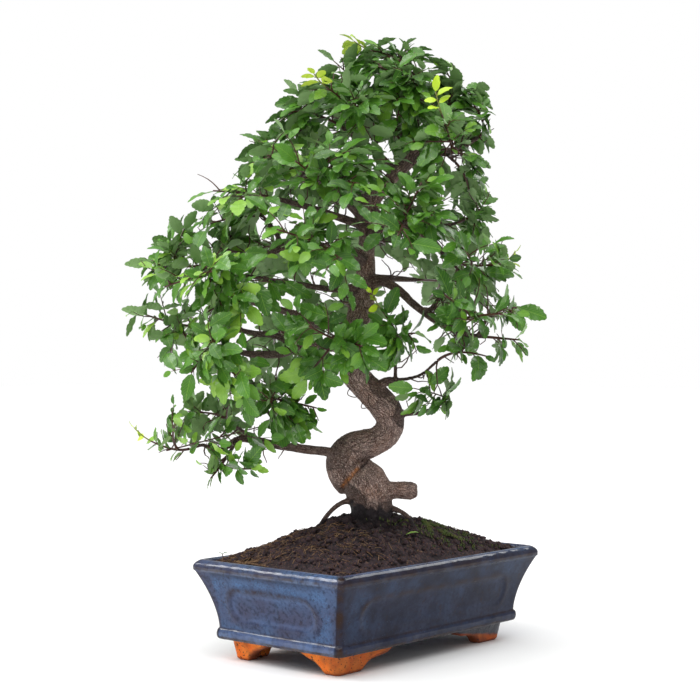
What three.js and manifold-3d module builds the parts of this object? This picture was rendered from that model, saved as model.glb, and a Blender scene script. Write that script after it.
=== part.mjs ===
// A chinese elm bonsai in its glazed rectangular pot. Units are millimetres, +Z is up, and the origin
// is the middle of the pot's footprint on the surface that it stands on. X runs along the pot.
import * as THREE from "three";
import { mergeVertices } from "three/addons/utils/BufferGeometryUtils.js";
import Module from "manifold-3d";

const wasm = await Module();
wasm.setup();

// Driving dimensions of the pot
const RIM_LENGTH = 200;
const RIM_WIDTH = 124;
const RIM_HEIGHT = 61.5;
const FOOT_HEIGHT = 12.7;
const WALL = 6.5;
const FLOOR = 5.3;
const FLARE = 11.8;
const FLARE_CURVE = 1.7;
const LIP_HEIGHT = 4.8;
const BAND_HEIGHT = 6;
const BAND_RELIEF = 0.9;
const CORNER_RADIUS = 4;
const DRAIN_DIAMETER = 16;
const DRAIN_SPACING = 90;
const FIT_GAP = 0.35;

// Driving dimensions of the soil, a mound that falls off to the pot's sides
const SOIL_EDGE = 58.3;
const SOIL_MOUND = 25;
const SOIL_LUMPS = 0.9;

// Driving dimensions of the tree: TURN is in degrees, a leaf is up to LEAF_SPREAD longer than
// LEAF_LENGTH, and LEAF_WIDTH is its width as a share of its length
const TURN = -49.2;
const LEAF_LENGTH = 14;
const LEAF_SPREAD = 9;
const LEAF_WIDTH = 0.5;
const LEAF_THICKNESS = 1.4;
const STEM_RADIUS = 1;
const STEM_TIP_RADIUS = 0.65;
const YOUNG_REACH = 11;
const YOUNG_RISE = 3;
const YOUNG_SCALE = 0.7;
const ROOT_DEPTH = 34;

// Where the random draws start, and how far apart they start for stems, forks, leaves and tips
const SEED = 20;
const STEM_SEED_STEP = 97;
const FORK_SEED_STEP = 50000;
const LEAF_SEED = 9001;
const LEAF_SEED_STEP = 37;
const YOUNG_SEED_STEP = 611;
const TRY_SEED_STEP = 211;

// Points of the tree are [across, away, up, radius], seen from its front: across to the right, and
// away from the viewer. The front of the tree is turned from the pot's long side by TURN degrees.
const TRUNK_FOOT = [
  [0, 0, ROOT_DEPTH, 11], [0, 0, 60, 12], [0, 0, 80, 12.7], [0, -1, 91, 13.4], [-2, -2, 101, 14.8],
  [-6, -2, 110, 13.5], [-9, -1, 117, 9],
];
const LEADER = [
  [-12, 3, 101, 9], [-16, 3, 111, 11.4], [-17, 3, 120, 11.7], [-11, 5, 127, 10.6], [4, 6, 132, 8.8],
  [11, 5, 139, 8.8], [12, 3, 146, 9.2], [9, 1, 153, 9.7], [1, -2, 162, 9.2], [-6, -3, 169, 8.7],
  [-11, -4, 176, 9], [-12, -5, 185, 8.4], [-12, -5, 194, 8], [-8, -3, 211, 7.6], [-5, -1, 222, 7.4],
  [-4, 0, 232, 6.8], [-3, 2, 253, 5.3], [-3, 4, 269, 4.8], [0, 5, 282, 4.7], [8, 6, 294, 4.5],
  [16, 6, 303, 4.3], [25, 5, 311, 4], [34, 3, 326, 3], [38, 2, 345, 2.4], [35, 1, 357, 1.9],
  [26, 0, 367, 1.4],
];
const STUB = [[8, -3, 101, 6], [17, -5, 101, 5.6], [25, -6, 101, 5.8], [29, -6, 101, 4]];
const SURFACE_ROOTS = [
  [[-8, -3, 94, 3.4], [-17, -7, 94, 1.8], [-25, -11, 89, 1.6], [-32, -14, 80, 1.6], [-38, -17, 66, 1.5]],
  [[8, -2, 90, 3], [18, -6, 88, 1.6], [25, -9, 82, 1.5], [30, -12, 66, 1.4]],
];

// Boughs and their side branches
const BRANCHES = {
  lowLeft: [
    [-14, 1, 121, 4.2], [-27, -2, 125, 3.2], [-41, -6, 127, 3], [-53, -11, 129, 2.8],
    [-63, -15, 131, 2.7], [-75, -19, 134, 2.6], [-84, -22, 134, 2.2], [-95, -25, 127, 1.6],
    [-104, -28, 131, 1.3], [-112, -31, 129, 1.1],
  ],
  lowLeftUp: [[-57, -12, 130, 1.8], [-60, -10, 143, 1.5], [-67, -8, 153, 1.3], [-75, -4, 163, 1]],
  lowLeftInner: [[-47, -8, 128, 1.5], [-51, -12, 141, 1.3], [-54, -20, 153, 1]],
  lowLeftDown: [[-84, -22, 134, 1.6], [-87, -28, 128, 1.3], [-90, -33, 123, 1.1]],
  lowLeftBack: [[-72, -18, 134, 1.6], [-84, -2, 140, 1.3], [-94, 12, 146, 1.1]],
  left: [
    [-12, -5, 190, 4.5], [-28, -10, 193, 3.6], [-42, -15, 194, 3.3], [-55, -22, 188, 2.9],
    [-67, -30, 187, 2.5], [-78, -40, 188, 2], [-88, -50, 192, 1.4],
  ],
  leftFork: [
    [-46, -17, 193, 2.6], [-61, -14, 199, 2.2], [-72, -10, 200, 2], [-82, -8, 202, 1.8],
    [-96, -8, 203, 1.5], [-108, -10, 204, 1.1],
  ],
  leftBack: [
    [-10, -4, 203, 4], [-28, 6, 206, 3.3], [-38, 14, 208, 3], [-52, 26, 214, 2.6],
    [-70, 40, 219, 2.1], [-82, 48, 222, 1.4],
  ],
  leftBackLow: [[-38, 14, 208, 2], [-50, 36, 204, 1.6], [-58, 52, 202, 1.1]],
  leftThin: [
    [-5, -1, 231, 3], [-22, -8, 228, 2.2], [-40, -18, 230, 1.9], [-62, -30, 233, 1.6],
    [-84, -42, 236, 1.3],
  ],
  upperLeft: [
    [-4, 1, 250, 4.4], [-18, 2, 252, 3.8], [-33, 2, 252, 3.4], [-45, 0, 252, 3.1],
    [-57, -3, 254, 2.7], [-67, -6, 250, 2.3], [-84, -10, 246, 1.9], [-104, -12, 243, 1.4],
  ],
  upperLeftUp: [[-56, -3, 254, 2], [-60, -1, 263, 1.7], [-66, 6, 272, 1.4]],
  upperLeftMiddle: [[-70, -7, 249, 1.9], [-80, 3, 251, 1.5], [-88, 12, 253, 1.1]],
  upperLeftBack: [[-33, 2, 252, 2.2], [-48, 20, 256, 1.8], [-60, 36, 258, 1.3]],
  front: [[-4, 0, 245, 3], [-12, -22, 250, 2.5], [-22, -42, 252, 1.8]],
  frontRight: [[-3, 3, 262, 2.8], [6, -18, 266, 2.3], [14, -38, 268, 1.6]],
  frontLow: [[-10, -6, 196, 2.6], [-14, -24, 198, 2.1], [-16, -38, 196, 1.5]],
  frontHigh: [[-3, 4, 270, 2.6], [-14, -18, 280, 2.2], [-24, -36, 287, 1.6]],
  knob: [[2, -4, 166, 3.4], [10, -8, 170, 3], [16, -10, 170, 2.6]],
  knobUp: [[15, -10, 170, 1.4], [15, -14, 181, 1.2], [15, -18, 190, 1.1]],
  knobRight: [[16, -10, 171, 1.3], [24, -12, 172, 1.2], [32, -14, 175, 1.1], [41, -18, 183, 1]],
  bendTwig: [[10, 3, 148, 2.4], [21, 1, 149, 1.7], [31, -2, 150, 1.4], [40, -5, 153, 1.2]],
  right: [
    [-4, 0, 230, 4.2], [4, -3, 233, 3.4], [10, -5, 232, 3.1], [18, -8, 227, 2.8],
    [26, -11, 219, 2.6], [35, -14, 212, 2.5], [42, -16, 207, 2.3], [52, -18, 202, 2],
    [61, -18, 199, 1.8], [71, -20, 198, 1.3],
  ],
  rightUp: [[35, -14, 212, 1.8], [41, -10, 220, 1.6], [47, -6, 228, 1.1]],
  rightEnd: [[66, -19, 198, 1.5], [71, -22, 208, 1.4], [77, -24, 213, 1.1]],
  rightFront: [[42, -16, 207, 1.8], [50, -34, 206, 1.4], [54, -46, 208, 1]],
  highRight: [
    [-1, 4, 278, 4], [8, 4, 274, 3.4], [16, 4, 270, 3], [34, 6, 264, 2.7], [46, 9, 252, 2.4],
    [54, 14, 244, 1.8],
  ],
  highRightUp: [[34, 6, 264, 2], [46, -4, 268, 1.6], [54, -8, 270, 1.1]],
  highRightBack: [[20, 4, 269, 1.8], [28, 20, 272, 1.5], [34, 34, 275, 1.1]],
  highRightFront: [[46, 9, 252, 1.8], [52, -10, 246, 1.4], [56, -24, 243, 1]],
  topRight: [
    [22, 5, 308, 3.2], [31, 4, 313, 2.8], [44, 3, 316, 2.4], [56, 1, 318, 2.1],
    [68, -2, 325, 1.5],
  ],
  topRightBack: [[47, 3, 316, 1.6], [54, 8, 310, 1.1]],
  topRightFront: [[36, 4, 314, 1.7], [44, -16, 312, 1.4], [48, -30, 310, 1.1]],
  crownRight: [[34, 3, 326, 1.8], [44, 2, 336, 1.4], [48, 0, 342, 1.1]],
  crownFront: [[37, 2, 340, 1.5], [30, -12, 350, 1.1]],
  crownBack: [[38, 2, 346, 1.4], [40, 14, 354, 1.1]],
  crownRear: [[32, 3, 322, 1.8], [24, 20, 328, 1.5], [18, 32, 332, 1.1]],
  topLeft: [[16, 6, 303, 3.2], [4, 6, 315, 2.6], [-8, 6, 325, 2.2], [-20, 4, 333, 1.4]],
  topLeftBack: [[-4, 6, 322, 1.6], [-6, 20, 330, 1.2]],
  topLeftFront: [[-8, 6, 325, 1.6], [-10, -10, 334, 1.2]],
  topLeftUp: [[4, 6, 315, 1.6], [2, 4, 332, 1.2]],
  shoulder: [[2, 5, 284, 3.4], [-16, 8, 290, 2.8], [-36, 10, 298, 2.4], [-50, 10, 305, 1.6]],
  shoulderBack: [[-36, 10, 298, 1.6], [-42, 26, 300, 1.1]],
  shoulderFront: [[-28, 9, 294, 1.8], [-36, -8, 300, 1.2]],
  shoulderLow: [[-2, 4, 268, 3.2], [-18, -4, 273, 2.7], [-38, -12, 279, 2.3], [-58, -18, 284, 1.6]],
  backHigh: [[-3, 2, 255, 3.2], [0, 24, 258, 2.7], [4, 46, 262, 1.8]],
  backLow: [[-8, -3, 212, 3], [-8, 20, 216, 2.6], [-12, 40, 220, 1.7]],
  backTop: [[0, 5, 284, 2.6], [-6, 26, 290, 1.8]],
  backRight: [[-4, 0, 236, 2.8], [14, 18, 236, 2.3], [30, 34, 236, 1.6]],
};

// Leafy shoots: the branch that each grows from the end of, and the tips of its forked stem
const SHOOTS = [
  ["lowLeftDown", [-98, -46, 112], [-70, -46, 118]],
  ["lowLeftUp", [-96, -4, 172], [-70, 16, 174]],
  ["lowLeftInner", [-62, -48, 158], [-34, -30, 154]],
  ["lowLeft", [-136, -34, 134], [-118, -58, 146]],
  ["lowLeftBack", [-118, 16, 150], [-92, 38, 152]],
  ["left", [-108, -64, 176], [-92, -80, 196], [-74, -72, 170]],
  ["leftFork", [-142, -12, 212], [-128, 12, 188], [-106, -36, 190]],
  ["leftBack", [-120, 46, 208], [-92, 80, 220]],
  ["leftBackLow", [-66, 80, 194], [-42, 68, 182]],
  ["leftThin", [-126, -46, 228], [-94, -80, 236], [-74, -70, 216]],
  ["upperLeft", [-136, -16, 244], [-128, 14, 252]],
  ["upperLeftMiddle", [-106, 32, 248], [-90, 16, 264]],
  ["upperLeftUp", [-84, 18, 280], [-102, -4, 270]],
  ["upperLeftBack", [-82, 62, 256], [-60, 84, 246]],
  ["front", [-56, -84, 260], [-18, -94, 242]],
  ["frontRight", [14, -90, 256], [36, -66, 270], [30, -52, 292]],
  ["frontLow", [-38, -80, 204], [-6, -70, 192], [-40, -52, 172]],
  ["frontHigh", [-46, -68, 302], [-8, -72, 288]],
  ["knobUp", [26, -42, 200], [6, -38, 214]],
  ["knobRight", [70, -36, 186], [50, -48, 194]],
  ["bendTwig", [48, -8, 164]],
  ["right", [90, -38, 196], [80, -4, 188]],
  ["rightUp", [80, 14, 230], [60, 26, 210]],
  ["rightEnd", [90, -26, 216]],
  ["rightFront", [76, -80, 211], [42, -76, 222]],
  ["highRight", [78, 38, 216], [84, 18, 244]],
  ["highRightUp", [68, -16, 278]],
  ["highRightBack", [50, 64, 278], [22, 74, 270]],
  ["highRightFront", [78, -46, 242], [54, -72, 248]],
  ["topRight", [64, -12, 344], [62, 8, 328]],
  ["topRightBack", [64, 26, 294], [54, 44, 304]],
  ["topRightFront", [42, -50, 332], [62, -34, 302]],
  ["crownRight", [50, 4, 356]],
  ["crownFront", [24, -38, 358], [4, -24, 366]],
  ["crownBack", [36, 34, 360], [52, 26, 344]],
  ["leader", [0, -2, 380], [22, 10, 382]],
  ["crownRear", [10, 58, 338], [34, 54, 326], [42, 56, 310]],
  ["topLeft", [-52, -10, 340], [-50, 18, 328]],
  ["topLeftBack", [-20, 46, 350], [-36, 50, 328]],
  ["topLeftFront", [-28, -42, 350], [-6, -48, 336]],
  ["topLeftUp", [-22, 0, 360], [-12, 24, 362]],
  ["shoulder", [-74, 8, 312], [-66, -14, 322]],
  ["shoulderBack", [-66, 56, 298], [-40, 66, 310]],
  ["shoulderFront", [-64, -46, 308]],
  ["shoulderLow", [-98, -30, 288], [-80, -58, 280]],
  ["backHigh", [20, 98, 256], [-16, 92, 270]],
  ["backLow", [-40, 90, 220], [-2, 88, 214]],
  ["backTop", [-26, 80, 292], [6, 76, 302]],
  ["backRight", [78, 88, 238], [42, 96, 226]],
];
// Lime young growth on the shoot of that branch, past the tip of its first or second stem
const YOUNG_TIPS = [
  ["leader", 0],
  ["topLeftFront", 0],
  ["topRightFront", 0],
  ["highRight", 1],
  ["lowLeft", 0],
  ["knobUp", 1],
];
const CROWN_HEART = new THREE.Vector3(-18, 0, 225);
// A stem has room for five leaves. A shoot's first, second and third stem carry these ones.
const OWN_LEAVES = [[1, 3, 4], [1, 4], [4]];

// Solids
function solid(geometry) {
  const bare = geometry.index ? geometry.toNonIndexed() : geometry.clone();
  bare.deleteAttribute("normal");
  bare.deleteAttribute("uv");
  const merged = mergeVertices(bare, 1e-4);
  const mesh = new wasm.Mesh({
    numProp: 3,
    vertProperties: new Float32Array(merged.attributes.position.array),
    triVerts: new Uint32Array(merged.index.array),
  });
  return new wasm.Manifold(mesh);
}

function geometryOf(body) {
  const mesh = body.getMesh();
  const geometry = new THREE.BufferGeometry();
  geometry.setAttribute("position", new THREE.BufferAttribute(mesh.vertProperties.slice(), 3));
  geometry.setIndex(new THREE.BufferAttribute(mesh.triVerts.slice(), 1));
  geometry.computeVertexNormals();
  return geometry;
}

function join(solids) {
  return solids.reduce((all, next) => all.add(next));
}

// Joined pieces as one body: hollows that the joining seals are filled, and specks are dropped
function whole(name, joined) {
  const specks = 0.5;
  const bodies = joined.decompose().filter((body) => body.volume() > specks);
  if (bodies.length !== 1) {
    throw new Error(`${name} is ${bodies.length} bodies`);
  }
  return bodies[0];
}

// A closed skin through rings of points, each counter-clockwise as seen from the last ring, with a fan
// of triangles over both ends
function loft(rings) {
  const count = rings[0].length;
  const points = rings.flat();
  const triangles = [];
  for (let k = 0; k < rings.length - 1; k++) {
    for (let i = 0; i < count; i++) {
      const j = (i + 1) % count;
      const [a, b] = [k * count + i, k * count + j];
      const [c, d] = [a + count, b + count];
      triangles.push(a, b, d, a, d, c);
    }
  }
  const last = (rings.length - 1) * count;
  for (let i = 1; i < count - 1; i++) {
    triangles.push(0, i + 1, i, last, last + i, last + i + 1);
  }
  const geometry = new THREE.BufferGeometry().setFromPoints(points);
  geometry.setIndex(triangles);
  return geometry;
}

// A tube along a curve, with its radius given at each place t on the curve
function tube(curve, radiusAt, steps, sides) {
  const frames = curve.computeFrenetFrames(steps, false);
  const rings = [];
  for (let k = 0; k <= steps; k++) {
    const centre = curve.getPointAt(k / steps);
    const radius = radiusAt(curve.getUtoTmapping(k / steps));
    const ring = [];
    for (let i = 0; i < sides; i++) {
      const angle = (2 * Math.PI * i) / sides;
      const point = centre.clone().addScaledVector(frames.normals[k], radius * Math.cos(angle));
      ring.push(point.addScaledVector(frames.binormals[k], radius * Math.sin(angle)));
    }
    rings.push(ring);
  }
  return solid(loft(rings));
}

// A smooth tube through points of the tree, which carry their own radius
function treeCurve(points) {
  const places = points.map(([across, away, up]) => new THREE.Vector3(across, away, up));
  return new THREE.CatmullRomCurve3(places, false, "catmullrom", 0.5);
}

function limb(points, growth, steps, sides) {
  const radiusAt = (t) => {
    const place = t * (points.length - 1);
    const from = Math.min(Math.floor(place), points.length - 2);
    return THREE.MathUtils.lerp(points[from][3], points[from + 1][3], place - from) + growth;
  };
  return tube(treeCurve(points), radiusAt, steps, sides);
}

// A rounded rectangle at one height, with its corners in steps and its sides split into even lengths
function rectangleRing(halfLength, halfWidth, radius, z, cornerSteps = 3, splits = [1, 1]) {
  const [straightX, straightY] = [halfLength - radius, halfWidth - radius];
  const ring = [];
  for (let corner = 0; corner < 4; corner++) {
    const [sx, sy] = [[1, -1], [1, 1], [-1, 1], [-1, -1]][corner];
    for (let i = 0; i <= cornerSteps; i++) {
      const angle = ((corner - 1 + i / cornerSteps) * Math.PI) / 2;
      const x = sx * straightX + radius * Math.cos(angle);
      const y = sy * straightY + radius * Math.sin(angle);
      ring.push(new THREE.Vector3(x, y, z));
    }
    const upright = corner % 2 === 0;
    const parts = splits[upright ? 1 : 0];
    for (let i = 1; i < parts; i++) {
      const share = 1 - (2 * i) / parts;
      const x = upright ? sx * halfLength : sx * straightX * share;
      const y = upright ? sy * straightY * share : sy * halfWidth;
      ring.push(new THREE.Vector3(x, y, z));
    }
  }
  return ring;
}

// Pot
const LIP_Z = RIM_HEIGHT - LIP_HEIGHT;
const BAND_Z = FOOT_HEIGHT + BAND_HEIGHT;
const FLOOR_Z = FOOT_HEIGHT + FLOOR;

// How far the wall's outer face stands in from the rim's outer edge at a height
function wallInset(z) {
  const rise = THREE.MathUtils.clamp((z - BAND_Z) / (LIP_Z - BAND_Z), 0, 1);
  return FLARE * (1 - rise ** FLARE_CURVE);
}

function potRing(inset, z, ...shape) {
  const [halfLength, halfWidth] = [RIM_LENGTH / 2 - inset, RIM_WIDTH / 2 - inset];
  return rectangleRing(halfLength, halfWidth, CORNER_RADIUS, z, ...shape);
}

// The cavity's wall is straight between these heights, and the soil follows it
const CAVITY_HEIGHTS = [FLOOR_Z, 30, 40, 50, RIM_HEIGHT - 1.6];

function cavityInset(z) {
  const above = CAVITY_HEIGHTS.findIndex((height) => height >= z);
  const [low, high] = [CAVITY_HEIGHTS[Math.max(above - 1, 0)], CAVITY_HEIGHTS[Math.max(above, 1)]];
  const share = (z - low) / (high - low);
  return WALL + THREE.MathUtils.lerp(wallInset(low), wallInset(high), share);
}

function potShell() {
  const wallHeights = [BAND_Z + 0.5, 26, 33, 40, 47, 52.5];
  return loft([
    potRing(FLARE + 0.9, FOOT_HEIGHT),
    potRing(FLARE - BAND_RELIEF, FOOT_HEIGHT + 1.4),
    potRing(FLARE - BAND_RELIEF, BAND_Z - 0.8),
    ...wallHeights.map((z) => potRing(wallInset(z), z)),
    potRing(0.5, LIP_Z - 2),
    potRing(0, LIP_Z),
    potRing(0.8, LIP_Z + 2.2),
    potRing(4.2, RIM_HEIGHT),
    potRing(6.2, RIM_HEIGHT),
    ...CAVITY_HEIGHTS.toReversed().map((z) => potRing(cavityInset(z), z)),
  ]);
}

// Half of the cloud-cut gap between two feet, as [distance from the middle, height]
const LONG_SIDE_GAP = [[59, 0], [56, 3.4], [51, 6.2], [45, 7.2], [37, 8], [33, 10.6], [29, 14]];
const SHORT_SIDE_GAP = [[31, 0], [29, 3.2], [25, 6.4], [19, 8.6], [14, 11], [11, 14]];

function gapPrism(half, alongX) {
  const left = half.map(([x, z]) => new THREE.Vector2(-x, z));
  const right = half.map(([x, z]) => new THREE.Vector2(x, z)).reverse();
  const low = [new THREE.Vector2(half[0][0], -1), new THREE.Vector2(-half[0][0], -1)];
  const depth = 2 * RIM_LENGTH;
  const shape = new THREE.Shape([...left, ...right, ...low]);
  const geometry = new THREE.ExtrudeGeometry(shape, { depth, bevelEnabled: false });
  geometry.translate(0, 0, -depth / 2).rotateX(Math.PI / 2);
  return alongX ? geometry.rotateZ(Math.PI / 2) : geometry;
}

function footSkirt() {
  const [topInset, soleInset, thickness, sunk] = [16.5, 20, 9, 1.3];
  const outer = [potRing(soleInset, 0), potRing(topInset, FOOT_HEIGHT + sunk)];
  const inner = [
    potRing(soleInset + thickness, -1),
    potRing(soleInset + thickness, FOOT_HEIGHT + sunk + 1),
  ];
  return solid(loft(outer))
    .subtract(solid(loft(inner)))
    .subtract(solid(gapPrism(LONG_SIDE_GAP, false)))
    .subtract(solid(gapPrism(SHORT_SIDE_GAP, true)));
}

// Raised outline of the panel on one side: a stadium of small triangular section on the flared wall
function panelRidge(side) {
  const [low, high, endSteps, halfBreadth, relief, sunk] = [23.5, 45.5, 4, 1.5, 1.2, 0.8];
  const along = side % 2 ? RIM_WIDTH / 2 - 26 : RIM_LENGTH / 2 - 27;
  const across = side % 2 ? RIM_LENGTH / 2 : RIM_WIDTH / 2;
  const radius = (high - low) / 2;
  const ring = [];
  for (const end of [1, -1]) {
    for (let i = 0; i <= endSteps; i++) {
      const angle = (-0.5 + i / endSteps) * Math.PI;
      const outwards = new THREE.Vector2(end * Math.cos(angle), end * Math.sin(angle));
      const middle = new THREE.Vector2(end * (along - radius), low + radius);
      ring.push([middle.addScaledVector(outwards, radius), outwards]);
    }
  }
  const section = [[-halfBreadth, -sunk], [halfBreadth, -sunk], [0, relief]];
  const rings = section.map(([offset, height]) =>
    ring.map(([middle, outwards]) => {
      const flat = middle.clone().addScaledVector(outwards, offset);
      return new THREE.Vector3(flat.x, -(across - wallInset(flat.y) + height), flat.y);
    }),
  );
  return closedBand(rings).rotateZ((side * Math.PI) / 2);
}

// A closed band through rings that run alongside each other, joined back to the first
function closedBand(rings) {
  const count = rings[0].length;
  const triangles = [];
  rings.forEach((_, k) => {
    const next = (k + 1) % rings.length;
    for (let i = 0; i < count; i++) {
      const j = (i + 1) % count;
      const [a, b, c, d] = [k * count + i, k * count + j, next * count + i, next * count + j];
      triangles.push(a, b, d, a, d, c);
    }
  });
  const geometry = new THREE.BufferGeometry().setFromPoints(rings.flat());
  geometry.setIndex(triangles);
  return geometry;
}

function drainHole(end, radius, low, high) {
  const geometry = new THREE.CylinderGeometry(radius, radius, high - low, 16);
  geometry.rotateX(Math.PI / 2).translate((end * DRAIN_SPACING) / 2, 0, (low + high) / 2);
  return solid(geometry);
}

function pot() {
  const ridges = [0, 1, 2, 3].map((side) => solid(panelRidge(side)));
  const clay = join([solid(potShell()), footSkirt(), ...ridges]);
  return [-1, 1].reduce(
    (body, end) => body.subtract(drainHole(end, DRAIN_DIAMETER / 2, FOOT_HEIGHT - 2, FLOOR_Z + 2)),
    clay,
  );
}

// Plastic mesh over each drain hole, under the soil
const MESH_SIDE = 26;
const MESH_THICKNESS = 0.8;

function drainMesh(end) {
  const [cells, pitch, opening] = [3, 6.5, 4.5];
  let plate = solid(new THREE.BoxGeometry(MESH_SIDE, MESH_SIDE, MESH_THICKNESS));
  for (let i = 0; i < cells * cells; i++) {
    const cut = new THREE.BoxGeometry(opening, opening, 2 * MESH_THICKNESS);
    cut.translate(((i % cells) - 1) * pitch, (Math.floor(i / cells) - 1) * pitch, 0);
    plate = plate.subtract(solid(cut));
  }
  const seat = FLOOR_Z + FIT_GAP + MESH_THICKNESS / 2;
  return solid(geometryOf(plate).translate((end * DRAIN_SPACING) / 2, 0, seat));
}

// Soil: a mound up to the trunk, with small lumps, that ends a little inside the pot's wall
function soilHeight(x, y) {
  const fall = 0.8;
  const [endX, endY] = [0.96 * RIM_LENGTH, 0.92 * RIM_WIDTH];
  const along = Math.max(0, Math.cos((Math.PI * x) / endX)) ** fall;
  const across = Math.max(0, Math.cos((Math.PI * y) / endY)) ** fall;
  const lumps = Math.sin(x * 0.31 + 1.3) * Math.cos(y * 0.27) + Math.sin(x * 0.13 - y * 0.19);
  return SOIL_EDGE + (SOIL_MOUND + SOIL_LUMPS * lumps) * along * across;
}

function soil(hole) {
  const bottom = FLOOR_Z + 2 * FIT_GAP + MESH_THICKNESS;
  const heights = [bottom, ...CAVITY_HEIGHTS.slice(1, -1), SOIL_EDGE];
  const sides = heights.map((z) => potRing(cavityInset(z) + FIT_GAP, z, 2, [4, 3]));
  const edge = sides[sides.length - 1];
  const top = [0.94, 0.82, 0.68, 0.52, 0.36, 0.2].map((share) =>
    edge.map(({ x, y }) => {
      return new THREE.Vector3(x * share, y * share, soilHeight(x * share, y * share));
    }),
  );
  return solid(loft([...sides, ...top])).subtract(hole);
}

// Growth rule of the crown. A draw gives the same numbers from the same seed every time.
function draws(seed) {
  let state = seed;
  const next = () => {
    state = (state * 16807) % 2147483647;
    return state / 2147483647;
  };
  next();
  next();
  return next;
}

function scattered(vector, draw, amount) {
  const [x, y, z] = [draw() - 0.5, draw() - 0.5, draw() - 0.5];
  return vector.clone().addScaledVector(new THREE.Vector3(x, y, z), amount).normalize();
}

// The way a leaf's upper face looks: out of the crown and up
function outwardsAt(place) {
  const lift = 0.6;
  const outwards = place.clone().sub(CROWN_HEART).normalize();
  outwards.z += lift;
  return outwards.normalize();
}

// A leaf stands to one side of its stem at about 57 degrees, or ends the stem where side is 0, and
// hangs a little
function leafAt(place, along, side, seed) {
  const [scatter, lean, spread, sway, hang, moreHang, endScale] = [1.4, 0.55, 0.85, 0.6, 0.05, 0.35, 0.9];
  const draw = draws(seed);
  const face = scattered(outwardsAt(place), draw, scatter);
  const sideways = along.clone().cross(face).normalize();
  const axis = along.clone();
  if (side) {
    axis.multiplyScalar(lean).addScaledVector(sideways, spread * side);
  } else {
    axis.addScaledVector(sideways, sway * (draw() - 0.5));
  }
  axis.z -= hang + moreHang * draw();
  axis.normalize();
  face.addScaledVector(axis, -face.dot(axis)).normalize();
  const length = (LEAF_LENGTH + LEAF_SPREAD * draw()) * (side ? 1 : endScale);
  return { place, axis, face, length };
}

// A folded, drooping blade, notched like a saw on each side, thickest where its midrib rises and
// still LEAF_NECK thick where it sits in its stem
const LEAF_OUTLINE = [[0.33, 0.95], [0.4, 0.8], [0.6, 1]];
const LEAF_NECK = 0.6;
const RIB_PLACE = 0.4;

function leafBlade({ place, axis, face, length }, growth = 0) {
  const [droopShare, droopStart, foldShare] = [0.22, 0.35, 0.16];
  const across = face.clone().cross(axis);
  const at = (x, y, lift) => {
    const droop = droopShare * Math.max(x - droopStart, 0) ** 2;
    const fold = foldShare * Math.abs(y);
    return place
      .clone()
      .addScaledVector(axis, x * length)
      .addScaledVector(across, y * length)
      .addScaledVector(face, (fold - droop) * length + lift);
  };
  const half = LEAF_WIDTH / 2;
  const grown = growth / length;
  const right = LEAF_OUTLINE.map(([x, y]) => at(x, -y * half - grown, 0));
  const left = LEAF_OUTLINE.map(([x, y]) => at(x, y * half + grown, 0)).reverse();
  const rim = [...right, at(1 + grown, 0, 0), ...left];
  const neckLift = LEAF_NECK / 2 + growth;
  const ribLift = LEAF_THICKNESS / 2 + growth;
  const neck = [at(0, 0, neckLift), at(0, 0, -neckLift)];
  const rib = [at(RIB_PLACE, 0, ribLift), at(RIB_PLACE, 0, -ribLift)];
  const last = rim.length - 1;
  const [neckTop, neckUnder, ribTop, ribUnder] = [1, 2, 3, 4].map((i) => last + i);
  const triangles = [0, neckTop, neckUnder, neckTop, last, neckUnder];
  for (let i = -1; i <= last; i++) {
    const top = i < 0 ? neckTop : i;
    const under = i < 0 ? neckUnder : i;
    triangles.push(top, i < last ? i + 1 : neckTop, ribTop);
    triangles.push(i < last ? i + 1 : neckUnder, under, ribUnder);
  }
  const geometry = new THREE.BufferGeometry().setFromPoints([...rim, ...neck, ...rib]);
  geometry.setIndex(triangles);
  return solid(geometry);
}

const FIRST_LEAF = 0.3;
const LEAF_STEP = 0.175;
const LAST_LEAF = 0.97;

// A stem bends from its heading to its tip, in straight steps that its leaves are seated on, and
// carries five leaves, the last one at its tip
function stemFrom(start, heading, tip, seed, steps) {
  const bendShare = 0.4;
  const reach = start.distanceTo(tip);
  const bend = start.clone().addScaledVector(heading, bendShare * reach);
  const curve = new THREE.QuadraticBezierCurve3(start, bend, tip);
  const joints = curve.getSpacedPoints(steps);
  const leaves = [0, 1, 2, 3, 4].map((j) => {
    const share = Math.min(FIRST_LEAF + LEAF_STEP * j, LAST_LEAF);
    const step = Math.min(Math.floor(share * steps), steps - 1);
    const place = joints[step].clone().lerp(joints[step + 1], share * steps - step);
    const side = j === 4 ? 0 : j % 2 ? 1 : -1;
    const along = curve.getTangentAt(share);
    return { place, along, side, seed: seed + LEAF_SEED + LEAF_SEED_STEP * j, scale: 1 };
  });
  return { curve, steps, leaves };
}

// The other stems of a shoot fork off at the first joint of its main stem, rooted a little before it,
// and set out half along the main stem and half towards their own tip
const MAIN_STEPS = 3;
const FORK_STEPS = 1;
const FORK_PLACE = 1 / MAIN_STEPS;
const FORK_ROOT = 1.4;
const FORK_LEAN = 0.5;

function stemSolid({ curve, steps }, growth = 0) {
  const radiusAt = (t) => THREE.MathUtils.lerp(STEM_RADIUS, STEM_TIP_RADIUS, t) + growth;
  return tube(curve, radiusAt, steps, 3);
}

function branchEnd(points) {
  const curve = treeCurve(points);
  const heading = curve.getTangent(1);
  return { place: curve.getPoint(1).addScaledVector(heading, FIT_GAP), heading };
}

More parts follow.
